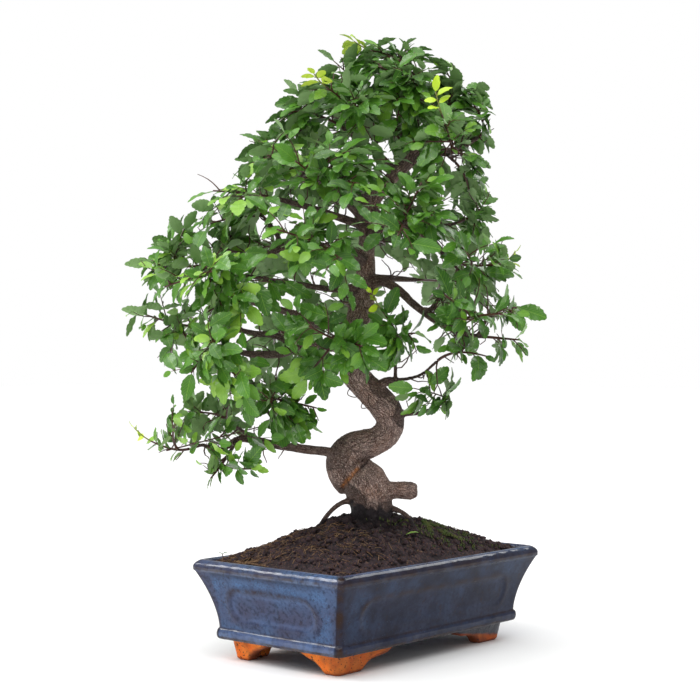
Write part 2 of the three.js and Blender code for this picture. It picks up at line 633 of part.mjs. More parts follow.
function shoot([branch, ...tips], index) {
  const points = branch === "leader" ? LEADER : BRANCHES[branch];
  const { place, heading } = branchEnd(points);
  const stems = [];
  tips.forEach((tip, fork) => {
    const seed = SEED + STEM_SEED_STEP * (index + 1) + FORK_SEED_STEP * fork;
    const end = new THREE.Vector3(...tip);
    if (fork) {
      const older = stems[0].curve;
      const along = older.getTangentAt(FORK_PLACE);
      const start = older.getPointAt(FORK_PLACE).addScaledVector(along, -FORK_ROOT);
      const turned = end.clone().sub(start).normalize();
      turned.addScaledVector(along, FORK_LEAN).normalize();
      stems.push(stemFrom(start, turned, end, seed, FORK_STEPS));
    } else {
      stems.push(stemFrom(place, heading, end, seed, MAIN_STEPS));
    }
  });
  return { name: `leafy_shoot_${String(index + 1).padStart(2, "0")}`, branch, stems };
}

// Lime growth sits at the tip of an older stem, where it takes the place of the last leaf
function youngTip([branch, fork], index) {
  const older = shoots.find((candidate) => candidate.branch === branch).stems[fork];
  older.leaves.pop();
  const heading = older.curve.getTangent(1);
  const start = older.curve.getPoint(1).addScaledVector(heading, FIT_GAP);
  const tip = start.clone().addScaledVector(heading, YOUNG_REACH);
  tip.z += YOUNG_RISE;
  const seed = SEED + YOUNG_SEED_STEP * (index + 1);
  const stem = stemFrom(start, heading, tip, seed, FORK_STEPS);
  stem.leaves.forEach((leaf) => {
    leaf.scale = YOUNG_SCALE;
  });
  return { name: `young_tip_${index + 1}`, branch, stems: [stem], young: true };
}

// Wood: the trunk with its roots, stub and boughs, grown as one
function wood(growth = 0) {
  const [stepsPerPoint, stoutRadius] = [0.6, 2.1];
  const bough = (points) => {
    const sides = points[0][3] > stoutRadius ? 5 : 3;
    return limb(points, growth, Math.ceil(stepsPerPoint * points.length), sides);
  };
  return join([
    limb(TRUNK_FOOT, growth, 7, 10),
    limb(LEADER, growth, 25, 8),
    limb(STUB, growth, 3, 7),
    ...SURFACE_ROOTS.map((root) => limb(root, growth, 4, 4)),
    ...Object.values(BRANCHES).map(bough),
  ]);
}

// Placing: a leaf is turned until it clears all but its own stem by the fit gap, or else left off
const LEAF_TRIES = 6;

function boxesMeet(a, b) {
  return [0, 1, 2].every((i) => a.min[i] <= b.max[i] && b.min[i] <= a.max[i]);
}

function taken(body, own, places) {
  const box = body.boundingBox();
  const near = places.filter((place) => !own(place) && boxesMeet(box, place.box));
  return near.find((place) => !body.intersect(place.body).isEmpty());
}

function takenPlace(owner, body, stem) {
  return { owner, body, stem, box: body.boundingBox() };
}

const shoots = SHOOTS.map(shoot);
const youngTips = YOUNG_TIPS.map(youngTip);
const twigs = [...shoots, ...youngTips];
const woodSolid = wood();
const takenPlaces = [takenPlace("trunk", woodSolid)];
for (const { name, stems } of twigs) {
  for (const stem of stems) {
    const isOwn = (place) => place.owner === name;
    const met = taken(stemSolid(stem, FIT_GAP / 2), isOwn, takenPlaces);
    if (met) {
      throw new Error(`a stem of ${name} runs into ${met.owner}`);
    }
    takenPlaces.push(takenPlace(name, stemSolid(stem), stem));
  }
}

function clearLeaf(leaf, stem) {
  for (let attempt = 0; attempt < LEAF_TRIES; attempt++) {
    const seed = leaf.seed + TRY_SEED_STEP * attempt;
    const turned = leafAt(leaf.place, leaf.along, leaf.side, seed);
    turned.length *= leaf.scale;
    if (!taken(leafBlade(turned, FIT_GAP), (place) => place.stem === stem, takenPlaces)) {
      return leafBlade(turned);
    }
  }
  return null;
}

function leafyShoot({ name, stems, young }) {
  const parts = [];
  stems.forEach((stem, fork) => {
    parts.push(stemSolid(stem));
    const carried = stem.leaves.filter((_, j) => (young ? j : OWN_LEAVES[fork].includes(j)));
    for (const leaf of carried) {
      const blade = clearLeaf(leaf, stem);
      if (blade) {
        takenPlaces.push(takenPlace(name, blade));
        parts.push(blade);
      }
    }
  });
  return whole(name, join(parts));
}

// Colours from the object: hue, roughness
const GLAZE = new THREE.MeshStandardMaterial({ color: 0x2f4866, roughness: 0.15, metalness: 0 });
const PEAT = new THREE.MeshStandardMaterial({ color: 0x33251d, roughness: 0.95, metalness: 0 });
const PLASTIC = new THREE.MeshStandardMaterial({ color: 0x26302a, roughness: 0.7, metalness: 0 });
const BARK = new THREE.MeshStandardMaterial({ color: 0x6d5f52, roughness: 0.85, metalness: 0 });
const LEAF_GREEN = { color: 0x4f7a36, roughness: 0.55, metalness: 0 };
const YOUNG_LIME = { color: 0xa9c43a, roughness: 0.55, metalness: 0 };

function piece(name, body, material) {
  const mesh = new THREE.Mesh(geometryOf(body), material);
  mesh.name = name;
  return mesh;
}

const turn = THREE.MathUtils.degToRad(TURN);
const tree = new THREE.Group();
tree.rotation.z = turn;
tree.add(piece("trunk", woodSolid, BARK));
for (const twig of twigs) {
  const material = new THREE.MeshStandardMaterial(twig.young ? YOUNG_LIME : LEAF_GREEN);
  tree.add(piece(twig.name, leafyShoot(twig), material));
}

const plantingHole = solid(geometryOf(wood(FIT_GAP)).rotateZ(turn));
const bonsai = new THREE.Group();
bonsai.add(piece("pot", pot(), GLAZE));
bonsai.add(piece("soil", soil(plantingHole), PEAT));
bonsai.add(piece("drain_mesh_1", drainMesh(-1), PLASTIC));
bonsai.add(piece("drain_mesh_2", drainMesh(1), PLASTIC));
bonsai.add(tree);

export default bonsai;
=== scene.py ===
import math

import bmesh
import bpy
import numpy as np
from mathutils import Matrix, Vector, kdtree, noise


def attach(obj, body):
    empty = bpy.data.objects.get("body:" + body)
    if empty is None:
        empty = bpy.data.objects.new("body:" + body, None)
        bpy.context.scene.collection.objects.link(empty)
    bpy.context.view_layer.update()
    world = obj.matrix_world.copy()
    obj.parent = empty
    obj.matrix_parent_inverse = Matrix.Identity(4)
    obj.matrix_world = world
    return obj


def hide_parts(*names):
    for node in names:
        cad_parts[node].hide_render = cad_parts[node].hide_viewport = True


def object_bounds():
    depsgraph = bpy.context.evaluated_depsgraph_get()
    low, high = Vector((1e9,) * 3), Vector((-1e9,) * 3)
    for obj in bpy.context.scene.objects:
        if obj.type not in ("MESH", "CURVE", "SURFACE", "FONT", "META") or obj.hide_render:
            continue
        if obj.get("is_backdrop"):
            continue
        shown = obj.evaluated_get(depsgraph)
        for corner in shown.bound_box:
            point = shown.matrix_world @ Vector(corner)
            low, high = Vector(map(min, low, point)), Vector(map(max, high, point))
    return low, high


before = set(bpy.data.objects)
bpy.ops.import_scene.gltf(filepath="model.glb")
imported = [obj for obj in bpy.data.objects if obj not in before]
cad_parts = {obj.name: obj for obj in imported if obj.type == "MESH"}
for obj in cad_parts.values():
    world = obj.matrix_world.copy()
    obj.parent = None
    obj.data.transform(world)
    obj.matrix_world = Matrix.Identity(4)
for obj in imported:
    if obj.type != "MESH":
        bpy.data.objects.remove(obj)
cad_low, cad_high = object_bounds()


# The viewpoint. The tree is seen straight from its front, which is turned from the long side of the
# pot, from about a metre away and level with the middle of the trunk.
MM = 0.001
TURN = math.radians(-49.2)
ACROSS = Vector((math.cos(TURN), math.sin(TURN), 0))
AWAY = Vector((-math.sin(TURN), math.cos(TURN), 0))
EYE_DISTANCE = 1005 * MM
EYE_HEIGHT = 189.8 * MM
EYE_SHIFT = -13.5 * MM
SENSOR_WIDTH, FOCAL_LENGTH = 36, 81.3

camera = bpy.data.objects.new("camera", bpy.data.cameras.new("camera"))
camera.data.sensor_width = SENSOR_WIDTH
camera.data.lens = FOCAL_LENGTH
camera.location = ACROSS * EYE_SHIFT - AWAY * EYE_DISTANCE + Vector((0, 0, EYE_HEIGHT))
camera.rotation_mode = "QUATERNION"
camera.rotation_quaternion = AWAY.to_track_quat("-Z", "Y")
bpy.context.scene.collection.objects.link(camera)
bpy.context.scene.camera = camera
bpy.context.scene.view_settings.view_transform = "Standard"


# The pot: cast stoneware, a flared rectangle with a rolled lip, a band at its base and a raised
# outline of a long panel on each side. It is glazed inside and out, down to the band's lower edge.
RIM_LENGTH, RIM_WIDTH = 200, 124
RIM_HALF = (RIM_LENGTH / 2, RIM_WIDTH / 2)
FOOT_HEIGHT, FLOOR_Z = 12.7, 18
WALL, FLARE, FLARE_CURVE = 6.5, 11.8, 1.7
LIP_Z, LIP_UNDERSIDE = 56.7, 2.2
BAND_Z, BAND_TOP, BAND_MIDDLE, BAND_HALF, BAND_RELIEF = 18.7, 19.9, 16.2, 3.3, 1.4
CORNER_RADIUS, CORNER_STEPS = 4, 10
SIDE_STEPS, WALL_STEPS, BAND_STEPS, HOLE_STEPS = (130, 80), 40, 8, 28
DRAIN_RADIUS, DRAIN_SPACING = 8, 90
PANEL_LOW, PANEL_HIGH = 23.5, 45.5
PANEL_ENDS = (RIM_LENGTH / 2 - 27, RIM_WIDTH / 2 - 26)
RIDGE_HEIGHT, RIDGE_BREADTH, PANEL_SINK, SINK_EDGE, SINK_SLOPE = 0.6, 2.5, 0.3, 1.6, 2.2
# The roll of the lip and the cavity: how far in from the rim, and how far above the lip's edge
LIP_ROLL = [
    (0.3, -1.4), (0.05, -0.5), (0, 0.3), (0.12, 1.2), (0.5, 2.1), (1.2, 3), (2.2, 3.9), (3.3, 4.5),
    (4.4, 4.78), (5.3, 4.7), (6.0, 4.2), (6.35, 3.5),
]
CAVITY_HEIGHTS = [59.9, 50, 40, 30, FLOOR_Z]
# How the hand and the kiln left it a little uneven: how far out of true, and how wide each wave is
WOBBLE, WOBBLE_SCALE = 0.0022, 0.045
RIPPLE, RIPPLE_SCALE, RIPPLE_TOP = 0.0032, 0.17, 0.4


def pot_ring(inset, z):
    """Points round the pot at one height, counter-clockwise from the right end of its front side."""
    half_length, half_width = RIM_HALF[0] - inset, RIM_HALF[1] - inset
    straight = (half_length - CORNER_RADIUS, half_width - CORNER_RADIUS)
    ring = []
    for corner, (sx, sy) in enumerate([(1, -1), (1, 1), (-1, 1), (-1, -1)]):
        for i in range(CORNER_STEPS + 1):
            angle = (corner - 1 + i / CORNER_STEPS) * math.pi / 2
            x = sx * straight[0] + CORNER_RADIUS * math.cos(angle)
            y = sy * straight[1] + CORNER_RADIUS * math.sin(angle)
            ring.append((x, y, z))
        along_y = corner % 2 == 0
        parts = SIDE_STEPS[1 if along_y else 0]
        for i in range(1, parts):
            share = 1 - 2 * i / parts
            x = sx * half_length if along_y else sx * straight[0] * share
            y = sy * straight[1] * share if along_y else sy * half_width
            ring.append((x, y, z))
    return np.array(ring)


def wall_inset(z):
    """How far in from the rim the outside of the flared wall is at a height."""
    rise = np.clip((z - BAND_Z) / (LIP_Z - BAND_Z), 0, 1)
    return FLARE * (1 - rise**FLARE_CURVE)


def panel_distance(along, z, end):
    """How far a point of a side lies outside the panel's outline, negative inside it."""
    radius = (PANEL_HIGH - PANEL_LOW) / 2
    beyond = np.maximum(np.abs(along) - (end - radius), 0)
    return np.hypot(beyond, z - PANEL_LOW - radius) - radius


def fading(distance, breadth):
    """One at no distance, and less and less over a breadth to both sides of it."""
    return np.exp(-((distance / breadth) ** 2))


def waves(points, scale):
    """A smooth uneven number between -1 and 1 for each point."""
    return np.array([noise.noise(Vector(p) * scale) for p in points])


def mesh_of(name, points, faces):
    mesh = bpy.data.meshes.new(name)
    corners = np.array([p[:] for p in points]) * MM
    mesh.from_pydata([tuple(p) for p in corners], [], [tuple(f) for f in faces])
    return mesh


def piece_of(name, mesh, material, replaced=()):
    """Adds a smooth-shaded piece that rides with the plant and may stand for solids of the model."""
    mesh.materials.append(material)
    mesh.polygons.foreach_set("use_smooth", [True] * len(mesh.polygons))
    piece = bpy.data.objects.new(name, mesh)
    bpy.context.scene.collection.objects.link(piece)
    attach(piece, "root")
    if replaced:
        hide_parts(*replaced)


def store(mesh, name, values):
    """Keeps a number, or three, for each of the mesh's points, for its material to use."""
    values = np.float32(values)
    kind, key = ("FLOAT_VECTOR", "vector") if values.ndim == 2 else ("FLOAT", "value")
    mesh.attributes.new(name, kind, "POINT").data.foreach_set(key, values.ravel())


def bands(ring_count, ring_size, first=0):
    """The four-sided faces between rings of points that follow each other."""
    faces = []
    for k in range(ring_count - 1):
        for i in range(ring_size):
            j = (i + 1) % ring_size
            a = first + k * ring_size
            b = a + ring_size
            faces.append((a + i, a + j, b + j, b + i))
    return faces


def join_up(tree, socket, value):
    """Sets a socket to a value, or joins it to another node's output."""
    if isinstance(value, bpy.types.NodeSocket):
        tree.links.new(value, socket)
    else:
        socket.default_value = value


def join_named(tree, node, inputs):
    for key, value in inputs.items():
        join_up(tree, node.inputs[key.replace("_", " ")], value)


def add_node(tree, kind, settings=None, **inputs):
    made = tree.nodes.new("ShaderNode" + kind)
    for key, value in (settings or {}).items():
        setattr(made, key, value)
    join_named(tree, made, inputs)
    return made


def mixed(tree, share, first, second):
    """The colour between two colours."""
    made = add_node(tree, "Mix", {"data_type": "RGBA"})
    for index, value in ((0, share), (6, first), (7, second)):
        join_up(tree, made.inputs[index], value)
    return made.outputs[2]


def maths(tree, operation, first, second=0.0, clamp=False):
    made = add_node(tree, "Math", {"operation": operation, "use_clamp": clamp})
    join_up(tree, made.inputs[0], first)
    join_up(tree, made.inputs[1], second)
    return made.outputs[0]


def times(tree, first, second):
    return maths(tree, "MULTIPLY", first, second)


def spread(tree, value, low, high, start=0.0, end=1.0):
    """Goes from low to high while a value goes from start to end."""
    made = add_node(
        tree, "MapRange", Value=value, From_Min=start, From_Max=end, To_Min=low, To_Max=high
    )
    return made.outputs[0]


def value_of(tree, name):
    """A number that the mesh stores for each of its points."""
    return add_node(tree, "Attribute", {"attribute_name": name}).outputs["Fac"]


def place_of(tree, name):
    """A place or three numbers that the mesh stores for each of its points."""
    return add_node(tree, "Attribute", {"attribute_name": name}).outputs["Vector"]


def colour(red, green, blue):
    return (red, green, blue, 1.0)


def new_material(name):
    """An empty material, with its node tree and the shader that its looks are set on."""
    material = bpy.data.materials.new(name)
    material.use_nodes = True
    tree = material.node_tree
    tree.nodes.clear()
    shader = tree.nodes.new("ShaderNodeBsdfPrincipled")
    output = tree.nodes.new("ShaderNodeOutputMaterial")
    tree.links.new(shader.outputs[0], output.inputs[0])
    return material, tree, shader


def new_group(name, inputs, outputs):
    """An empty shared effect with named numbers going in, and what it gives."""
    group = bpy.data.node_groups.new(name, "ShaderNodeTree")
    for key, start in inputs.items():
        socket = group.interface.new_socket(key, in_out="INPUT", socket_type="NodeSocketFloat")
        socket.default_value = start
    for key, kind in outputs.items():
        group.interface.new_socket(key, in_out="OUTPUT", socket_type=kind)
    entry = group.nodes.new("NodeGroupInput")
    result = group.nodes.new("NodeGroupOutput")
    return group, entry.outputs, result.inputs


# Shared effect: patches of a mask that fade from Low to High over cloudy noise of one scale
mottle, given, wanted = new_group(
    "mottle", {"Scale": 50.0, "Low": 0.4, "High": 0.6, "Detail": 4.0}, {"Mask": "NodeSocketFloat"}
)
place = add_node(mottle, "TexCoord").outputs["Object"]
clouds = add_node(mottle, "TexNoise", Vector=place, Scale=given["Scale"], Detail=given["Detail"])
mask = spread(mottle, clouds.outputs["Fac"], 0.0, 1.0, given["Low"], given["High"])
mottle.links.new(mask, wanted["Mask"])

# Shared effect: a surface roughened by two sizes of grain
COARSER, FINE_DETAIL, COARSE_DETAIL, GRAIN_RISE = 0.22, 6.0, 3.0, 0.6 * MM
grain, given, wanted = new_group(
    "grain", {"Scale": 300.0, "Depth": 0.3, "Coarse": 0.5}, {"Normal": "NodeSocketVector"}
)
place = add_node(grain, "TexCoord").outputs["Object"]
fine = add_node(grain, "TexNoise", Vector=place, Scale=given["Scale"], Detail=FINE_DETAIL)
wide_scale = times(grain, given["Scale"], COARSER)
wide = add_node(grain, "TexNoise", Vector=place, Scale=wide_scale, Detail=COARSE_DETAIL)
height = maths(grain, "ADD", fine.outputs["Fac"], times(grain, wide.outputs["Fac"], given["Coarse"]))
bump = add_node(grain, "Bump", Height=height, Strength=given["Depth"], Distance=GRAIN_RISE)
grain.links.new(bump.outputs[0], wanted["Normal"])


def mottled(tree, scale, low, high, detail=4.0):
    used = add_node(tree, "Group", {"node_tree": mottle}, Scale=scale, Low=low, High=high, Detail=detail)
    return used.outputs["Mask"]


def blotched(tree, under, over, share, scale, low, high, detail=4.0):
    """One colour with patches of another over it, which cover it by a share."""
    return mixed(tree, times(tree, mottled(tree, scale, low, high, detail), share), under, over)


def grained(tree, scale, depth, coarse=0.5):
    used = add_node(tree, "Group", {"node_tree": grain}, Scale=scale, Depth=depth, Coarse=coarse)
    return used.outputs["Normal"]


# The glaze: cloudy blue over slate, rubbed brown where it is thin and milky where it pools, with painted
# sheen on the band, and painted shade on the long sides and under the lip
navy, blue, slate = colour(0.056, 0.062, 0.115), colour(0.07, 0.15, 0.31), colour(0.01, 0.0115, 0.026)
brown, milk_and_sheen, pit = colour(0.03, 0.015, 0.011), colour(0.14, 0.22, 0.45), colour(0.006, 0.006, 0.008)
glaze, tree, shader = new_material("blue_glaze")
glazed = blotched(tree, navy, blue, 0.5, 45, 0.38, 0.66, 8)
glazed = blotched(tree, glazed, slate, 0.6, 420, 0.46, 0.66, 6)
streaky = times(tree, mottled(tree, 130, 0.28, 0.72, 8), value_of(tree, "streak"))
glazed = mixed(tree, times(tree, streaky, mottled(tree, 1100, 0.3, 0.6, 3)), glazed, blue)
# painted shade: slate laid over the long sides and over a band just under the lip
smoky = spread(tree, mottled(tree, 70, 0.35, 0.65, 8), 0.72, 1.0)
glazed = mixed(tree, times(tree, value_of(tree, "dull_and_shade"), smoky), glazed, slate)
glazed = blotched(tree, glazed, brown, 0.45, 260, 0.6, 0.7, 6)
# milky blue where the glaze really pools, and as painted sheen on the band's upper face
pooled_and_sheen_here = times(tree, value_of(tree, "pooled_and_sheen"), mottled(tree, 160, 0.3, 0.6))
glazed = mixed(tree, times(tree, pooled_and_sheen_here, 0.22), glazed, milk_and_sheen)
worn = maths(tree, "MULTIPLY", value_of(tree, "thin"), mottled(tree, 120, 0.28, 0.6), clamp=True)
glazed = mixed(tree, worn, glazed, brown)
glazed = blotched(tree, glazed, milk_and_sheen, 0.3, 1500, 0.68, 0.76, 2)
glazed = blotched(tree, glazed, pit, 1.0, 620, 0.71, 0.76, 2)
clear = spread(tree, value_of(tree, "dull_and_shade"), 1.0, 0.28)
broken = times(tree, clear, mottled(tree, 150, 0.3, 0.6, 3))
glassy = spread(tree, times(tree, value_of(tree, "rolled"), broken), 0.03, 0.95)
gloss = spread(tree, mottled(tree, 90, 0.3, 0.7), 0.03, 0.1)
join_named(tree, shader, {
    "Base Color": glazed, "Roughness": gloss, "Normal": grained(tree, 170, 0.11, 2.4), "IOR": 1.2,
    "Coat Weight": glassy, "Coat Roughness": 0.04,
})

outer_profile = [(FLARE + 0.9, FOOT_HEIGHT), (FLARE + 0.1, FOOT_HEIGHT + 0.15)]
for step in range(BAND_STEPS + 1):
    angle = math.radians(-80 + 20 * step)
    bulge = BAND_RELIEF * math.cos(angle)
    outer_profile.append((FLARE - bulge, BAND_MIDDLE + BAND_HALF * math.sin(angle)))
wall_start = len(outer_profile)
for step in range(WALL_STEPS + 1):
    z = BAND_TOP + (LIP_Z - LIP_UNDERSIDE - BAND_TOP) * step / WALL_STEPS
    outer_profile.append((wall_inset(z), z))
lip_profile = [(inset, LIP_Z + rise) for inset, rise in LIP_ROLL]
cavity_profile = [(WALL + wall_inset(z), z) for z in CAVITY_HEIGHTS]
profile = outer_profile + lip_profile + cavity_profile
rings = [pot_ring(inset, z) for inset, z in profile]
size = len(rings[0])
skin = np.concatenate(rings)
up = skin[:, 2]
ring_index = np.arange(len(skin)) // size
on_wall = (ring_index >= wall_start) & (ring_index < len(outer_profile))
wall_here = wall_inset(up)

# What the glaze does on each side: the worn outline of the panel, the pool inside it, the streaks above
# it, the dull long sides darkened partly as painted shade, the painted shade under the lip and the worn
# upright edges
LONG_SIDE_STRENGTH, LONG_SIDE_DULL_AND_SHADE, UNDER_LIP_SHADE = 0.34, 0.97, 0.62
LINE_WEAR, LINE_WEAR_MORE, LINE_FADE_Z, LINE_FADE, LINE_LEAST = 0.45, 0.5, 26, 16, 0.2
POOL_INSIDE, POOL_BREADTH = 3.6, 1.3
STREAK_Z, STREAK_BREADTH, STREAK_OUTSIDE, STREAK_EVERYWHERE = 48, 3.6, 0.6, 0.1
UNDER_LIP_Z, UNDER_LIP_BREADTH = 54.5, 2.4
EDGE_WEAR, EDGE_PLACE, EDGE_BREADTH, CORNER_WEAR = 0.6, 1.5, 2.6, 2.4
LIP_POOL_Z, LIP_POOL, BAND_FACE, BAND_SHEEN, BAND_SHEEN_LOST = LIP_Z + 3.4, 0.4, (14.6, 18.6), 1.3, 1.2
thin, pooled_and_sheen, dull_and_shade, streak = (np.zeros(len(skin)) for kind in range(4))
for axis, way in ((1, -1), (0, 1), (1, 1), (0, -1)):
    long_side = axis == 1
    strength = LONG_SIDE_STRENGTH if long_side else 1
    along, half_along = skin[:, 1 - axis], RIM_HALF[1 - axis]
    off_wall = np.abs(RIM_HALF[axis] - skin[:, axis] * way - wall_here)
    flat = np.abs(along) < half_along - FLARE - CORNER_RADIUS
    facing = on_wall & (off_wall < 0.01) & flat
    away = panel_distance(along, up, PANEL_ENDS[1 - axis])[facing]
    outline = fading(away, RIDGE_BREADTH)
    sunk = 1 / (1 + np.exp(np.clip((away + SINK_EDGE) * SINK_SLOPE, -30, 30)))
    skin[facing, axis] += way * (RIDGE_HEIGHT * strength * outline - PANEL_SINK * sunk)
    line_height = np.clip((up[facing] - LINE_FADE_Z) / LINE_FADE, LINE_LEAST, 1)
    line = (LINE_WEAR + LINE_WEAR_MORE * strength) * outline**2 * line_height
    thin[facing] = np.maximum(thin[facing], line)
    above = fading(up[facing] - STREAK_Z, STREAK_BREADTH)
    streak[facing] = above + STREAK_OUTSIDE * (away > 3) + STREAK_EVERYWHERE
    pooled_and_sheen[facing] = strength**2 * fading(away + POOL_INSIDE, POOL_BREADTH)
    if long_side:
        # painted shade: the long sides are darker and less glossy, partly a duller glaze and partly the
        # shade of the side turned from the light
        dull_and_shade[off_wall < 3] = LONG_SIDE_DULL_AND_SHADE
    else:
        # painted shade: a dark band just under the lip's overhang on the short sides
        dull_and_shade[facing] = UNDER_LIP_SHADE * fading(up[facing] - UNDER_LIP_Z, UNDER_LIP_BREADTH)
    at_edge = on_wall & (off_wall < 1)
    from_edge = (half_along - wall_here - np.abs(along))[at_edge] - EDGE_PLACE
    thin[at_edge] = np.maximum(thin[at_edge], EDGE_WEAR * fading(from_edge, EDGE_BREADTH))
lean = np.repeat([inset for inset, z in profile], size)
past_x, past_y = (np.abs(skin[:, i]) - (RIM_HALF[i] - lean - CORNER_RADIUS) for i in (0, 1))
near_corner = past_x * past_y / CORNER_RADIUS**2
at_end = np.abs(skin[:, 0]) > RIM_HALF[0] - wall_inset(40) - CORNER_RADIUS - 3
thin = np.maximum(thin, np.clip(near_corner * CORNER_WEAR, 0, 1) * at_end)
# Heights that the glaze ran off: from, to and how worn. The band's foot and top, and the lip's edge
WORN_RINGS = [
    (12.6, 14.6, 0.9), (18.8, 20.4, 0.5), (LIP_Z - 1.2, LIP_Z + 0.4, 0.75),
    (LIP_Z + 0.4, LIP_Z + 2.6, 0.4),
]
for low, high, amount in WORN_RINGS:
    thin[(up > low) & (up < high)] = amount
pooled_and_sheen[up > LIP_POOL_Z] = LIP_POOL
# painted sheen: the band's upper face is made milky, less so on the long sides
on_band = (up > BAND_FACE[0]) & (up < BAND_FACE[1])
pooled_and_sheen[on_band] = BAND_SHEEN - BAND_SHEEN_LOST * dull_and_shade[on_band]
skin[:, :2] *= (1 - WOBBLE + WOBBLE * waves(skin, WOBBLE_SCALE))[:, None]
rolls = ((up > LIP_Z - 1) & (up < LIP_Z + 4)) | ((up > 13) & (up < BAND_TOP))
ripple = np.minimum(waves(skin, RIPPLE_SCALE), RIPPLE_TOP)
skin[rolls, :2] *= (1 - RIPPLE / 2 + RIPPLE * ripple)[rolls, None]
rolled = rolls | (up > LIP_Z - 2)

pot_mesh = bmesh.new()


def hole_ring(end, z):
    """Corners round a drain hole at one end of the floor, at its lower or upper face."""
    ring = []
    for i in range(HOLE_STEPS):
        angle = 2 * math.pi * i / HOLE_STEPS
        x = end * DRAIN_SPACING / 2 + DRAIN_RADIUS * math.cos(angle)
        ring.append(pot_mesh.verts.new(Vector((x, DRAIN_RADIUS * math.sin(angle), z)) * MM))
    return ring


def edges_round(ring):
    return [pot_mesh.edges.get((a, b)) for a, b in zip(ring, ring[1:] + ring[:1])]


corners = [pot_mesh.verts.new(Vector(p) * MM) for p in skin]
for face in bands(len(rings), size):
    pot_mesh.faces.new([corners[i] for i in face])
hole_rings = {(z, end): hole_ring(end, z) for z in (FOOT_HEIGHT, FLOOR_Z) for end in (-1, 1)}
for end in (-1, 1):
    low_ring, high_ring = hole_rings[FOOT_HEIGHT, end], hole_rings[FLOOR_Z, end]
    for i in range(HOLE_STEPS):
        j = (i + 1) % HOLE_STEPS
        pot_mesh.faces.new([low_ring[j], low_ring[i], high_ring[i], high_ring[j]])
for z, ring in ((FOOT_HEIGHT, corners[:size]), (FLOOR_Z, corners[-size:])):
    edges = edges_round(ring) + edges_round(hole_rings[z, -1]) + edges_round(hole_rings[z, 1])
    bmesh.ops.triangle_fill(pot_mesh, use_beauty=True, use_dissolve=False, edges=edges)
bmesh.ops.recalc_face_normals(pot_mesh, faces=pot_mesh.faces)
body_mesh = bpy.data.meshes.new("glazed_pot")
pot_mesh.to_mesh(body_mesh)
pot_mesh.free()
round_holes = np.zeros(len(body_mesh.vertices) - len(skin))
looks = {"thin": thin, "pooled_and_sheen": pooled_and_sheen, "rolled": rolled, "dull_and_shade": dull_and_shade, "streak": np.clip(streak, 0, 1)}
for name, values in looks.items():
    store(body_mesh, name, np.append(values, round_holes))
piece_of("glazed_pot", body_mesh, glaze, ["pot"])


# The feet: four angled corner feet of the same clay, cut away in a curve towards the middle of each
# side. They stand in from the band, and are left unglazed, burnt orange and pitted with iron. They are
# darker towards the cut underside, and painted shade darkens the front feet's faces along the long side.
FOOT_INSET, FOOT_TAPER, FOOT_THICKNESS, FOOT_TOP, FOOT_ROWS = 20, 3.5 / 14, 9, 13.6, 12
FOOT_ROUNDING, ROUNDING_HEIGHT, FOOT_STEP, FOOT_START, FOOT_TURN = 1.1, 1.3, 1.1, (30, 12), 8
FOOT_LUMP, FOOT_LUMP_SCALE, DARK_EDGE_HEIGHT, FRONT_FACE_SHADE = 0.25, 0.3, 2.2, 0.6
# Where a run of glaze came down over the far right foot: its height there and how it slants
RUN_HEIGHT, RUN_SLANT, RUN_END, RUN_BREADTH = 3.4, 0.14, 76, 1.2
LONG_SIDE_GAP = [[59, 0], [56, 3.4], [51, 6.2], [45, 7.2], [37, 8], [33, 10.6], [29, 13.2]]
SHORT_SIDE_GAP = [[31, 0], [29, 3.2], [25, 6.4], [19, 8.6], [14, 11], [11, 13.2]]

orange, pale_clay, burnt_and_shade = colour(0.88, 0.165, 0.01), colour(0.9, 0.24, 0.026), colour(0.12, 0.026, 0.012)
terracotta, tree, shader = new_material("unglazed_clay")
clay = blotched(tree, orange, pale_clay, 1.0, 130, 0.35, 0.65)
clay = blotched(tree, clay, burnt_and_shade, 0.7, 90, 0.46, 0.72)
clay = mixed(tree, times(tree, value_of(tree, "burnt_and_shade"), 0.8), clay, burnt_and_shade)
clay = blotched(tree, clay, pit, 1.0, 700, 0.62, 0.68, 2)
clay = mixed(tree, value_of(tree, "glazed"), clay, slate)
join_named(tree, shader, {
    "Base Color": clay, "Roughness": spread(tree, value_of(tree, "glazed"), 0.82, 0.25),
    "Normal": grained(tree, 900, 0.7, 1.2),
})


def foot_underside(gap, along):
    """How high the cut-away underside of a foot is at a place along its side."""
    halves, heights = zip(*reversed(gap))
    return float(np.interp(along, halves, heights))


def foot_path():
    """Places round one corner foot: x, y, the way outwards, and the height of its underside."""
    path = []
    half_length, half_width = RIM_HALF[0] - FOOT_INSET, RIM_HALF[1] - FOOT_INSET
    straight = (half_length - CORNER_RADIUS, half_width - CORNER_RADIUS)
    for x in np.arange(FOOT_START[0], straight[0], FOOT_STEP):
        path.append((x, half_width, 0, 1, foot_underside(LONG_SIDE_GAP, x)))
    for i in range(FOOT_TURN + 1):
        angle = math.pi / 2 * (1 - i / FOOT_TURN)
        out = (math.cos(angle), math.sin(angle))
        path.append((straight[0] + CORNER_RADIUS * out[0], straight[1] + CORNER_RADIUS * out[1], *out, 0))
    for y in np.arange(straight[1] - 1, FOOT_START[1], -FOOT_STEP):
        path.append((half_length, y, 1, 0, foot_underside(SHORT_SIDE_GAP, y)))
    return path


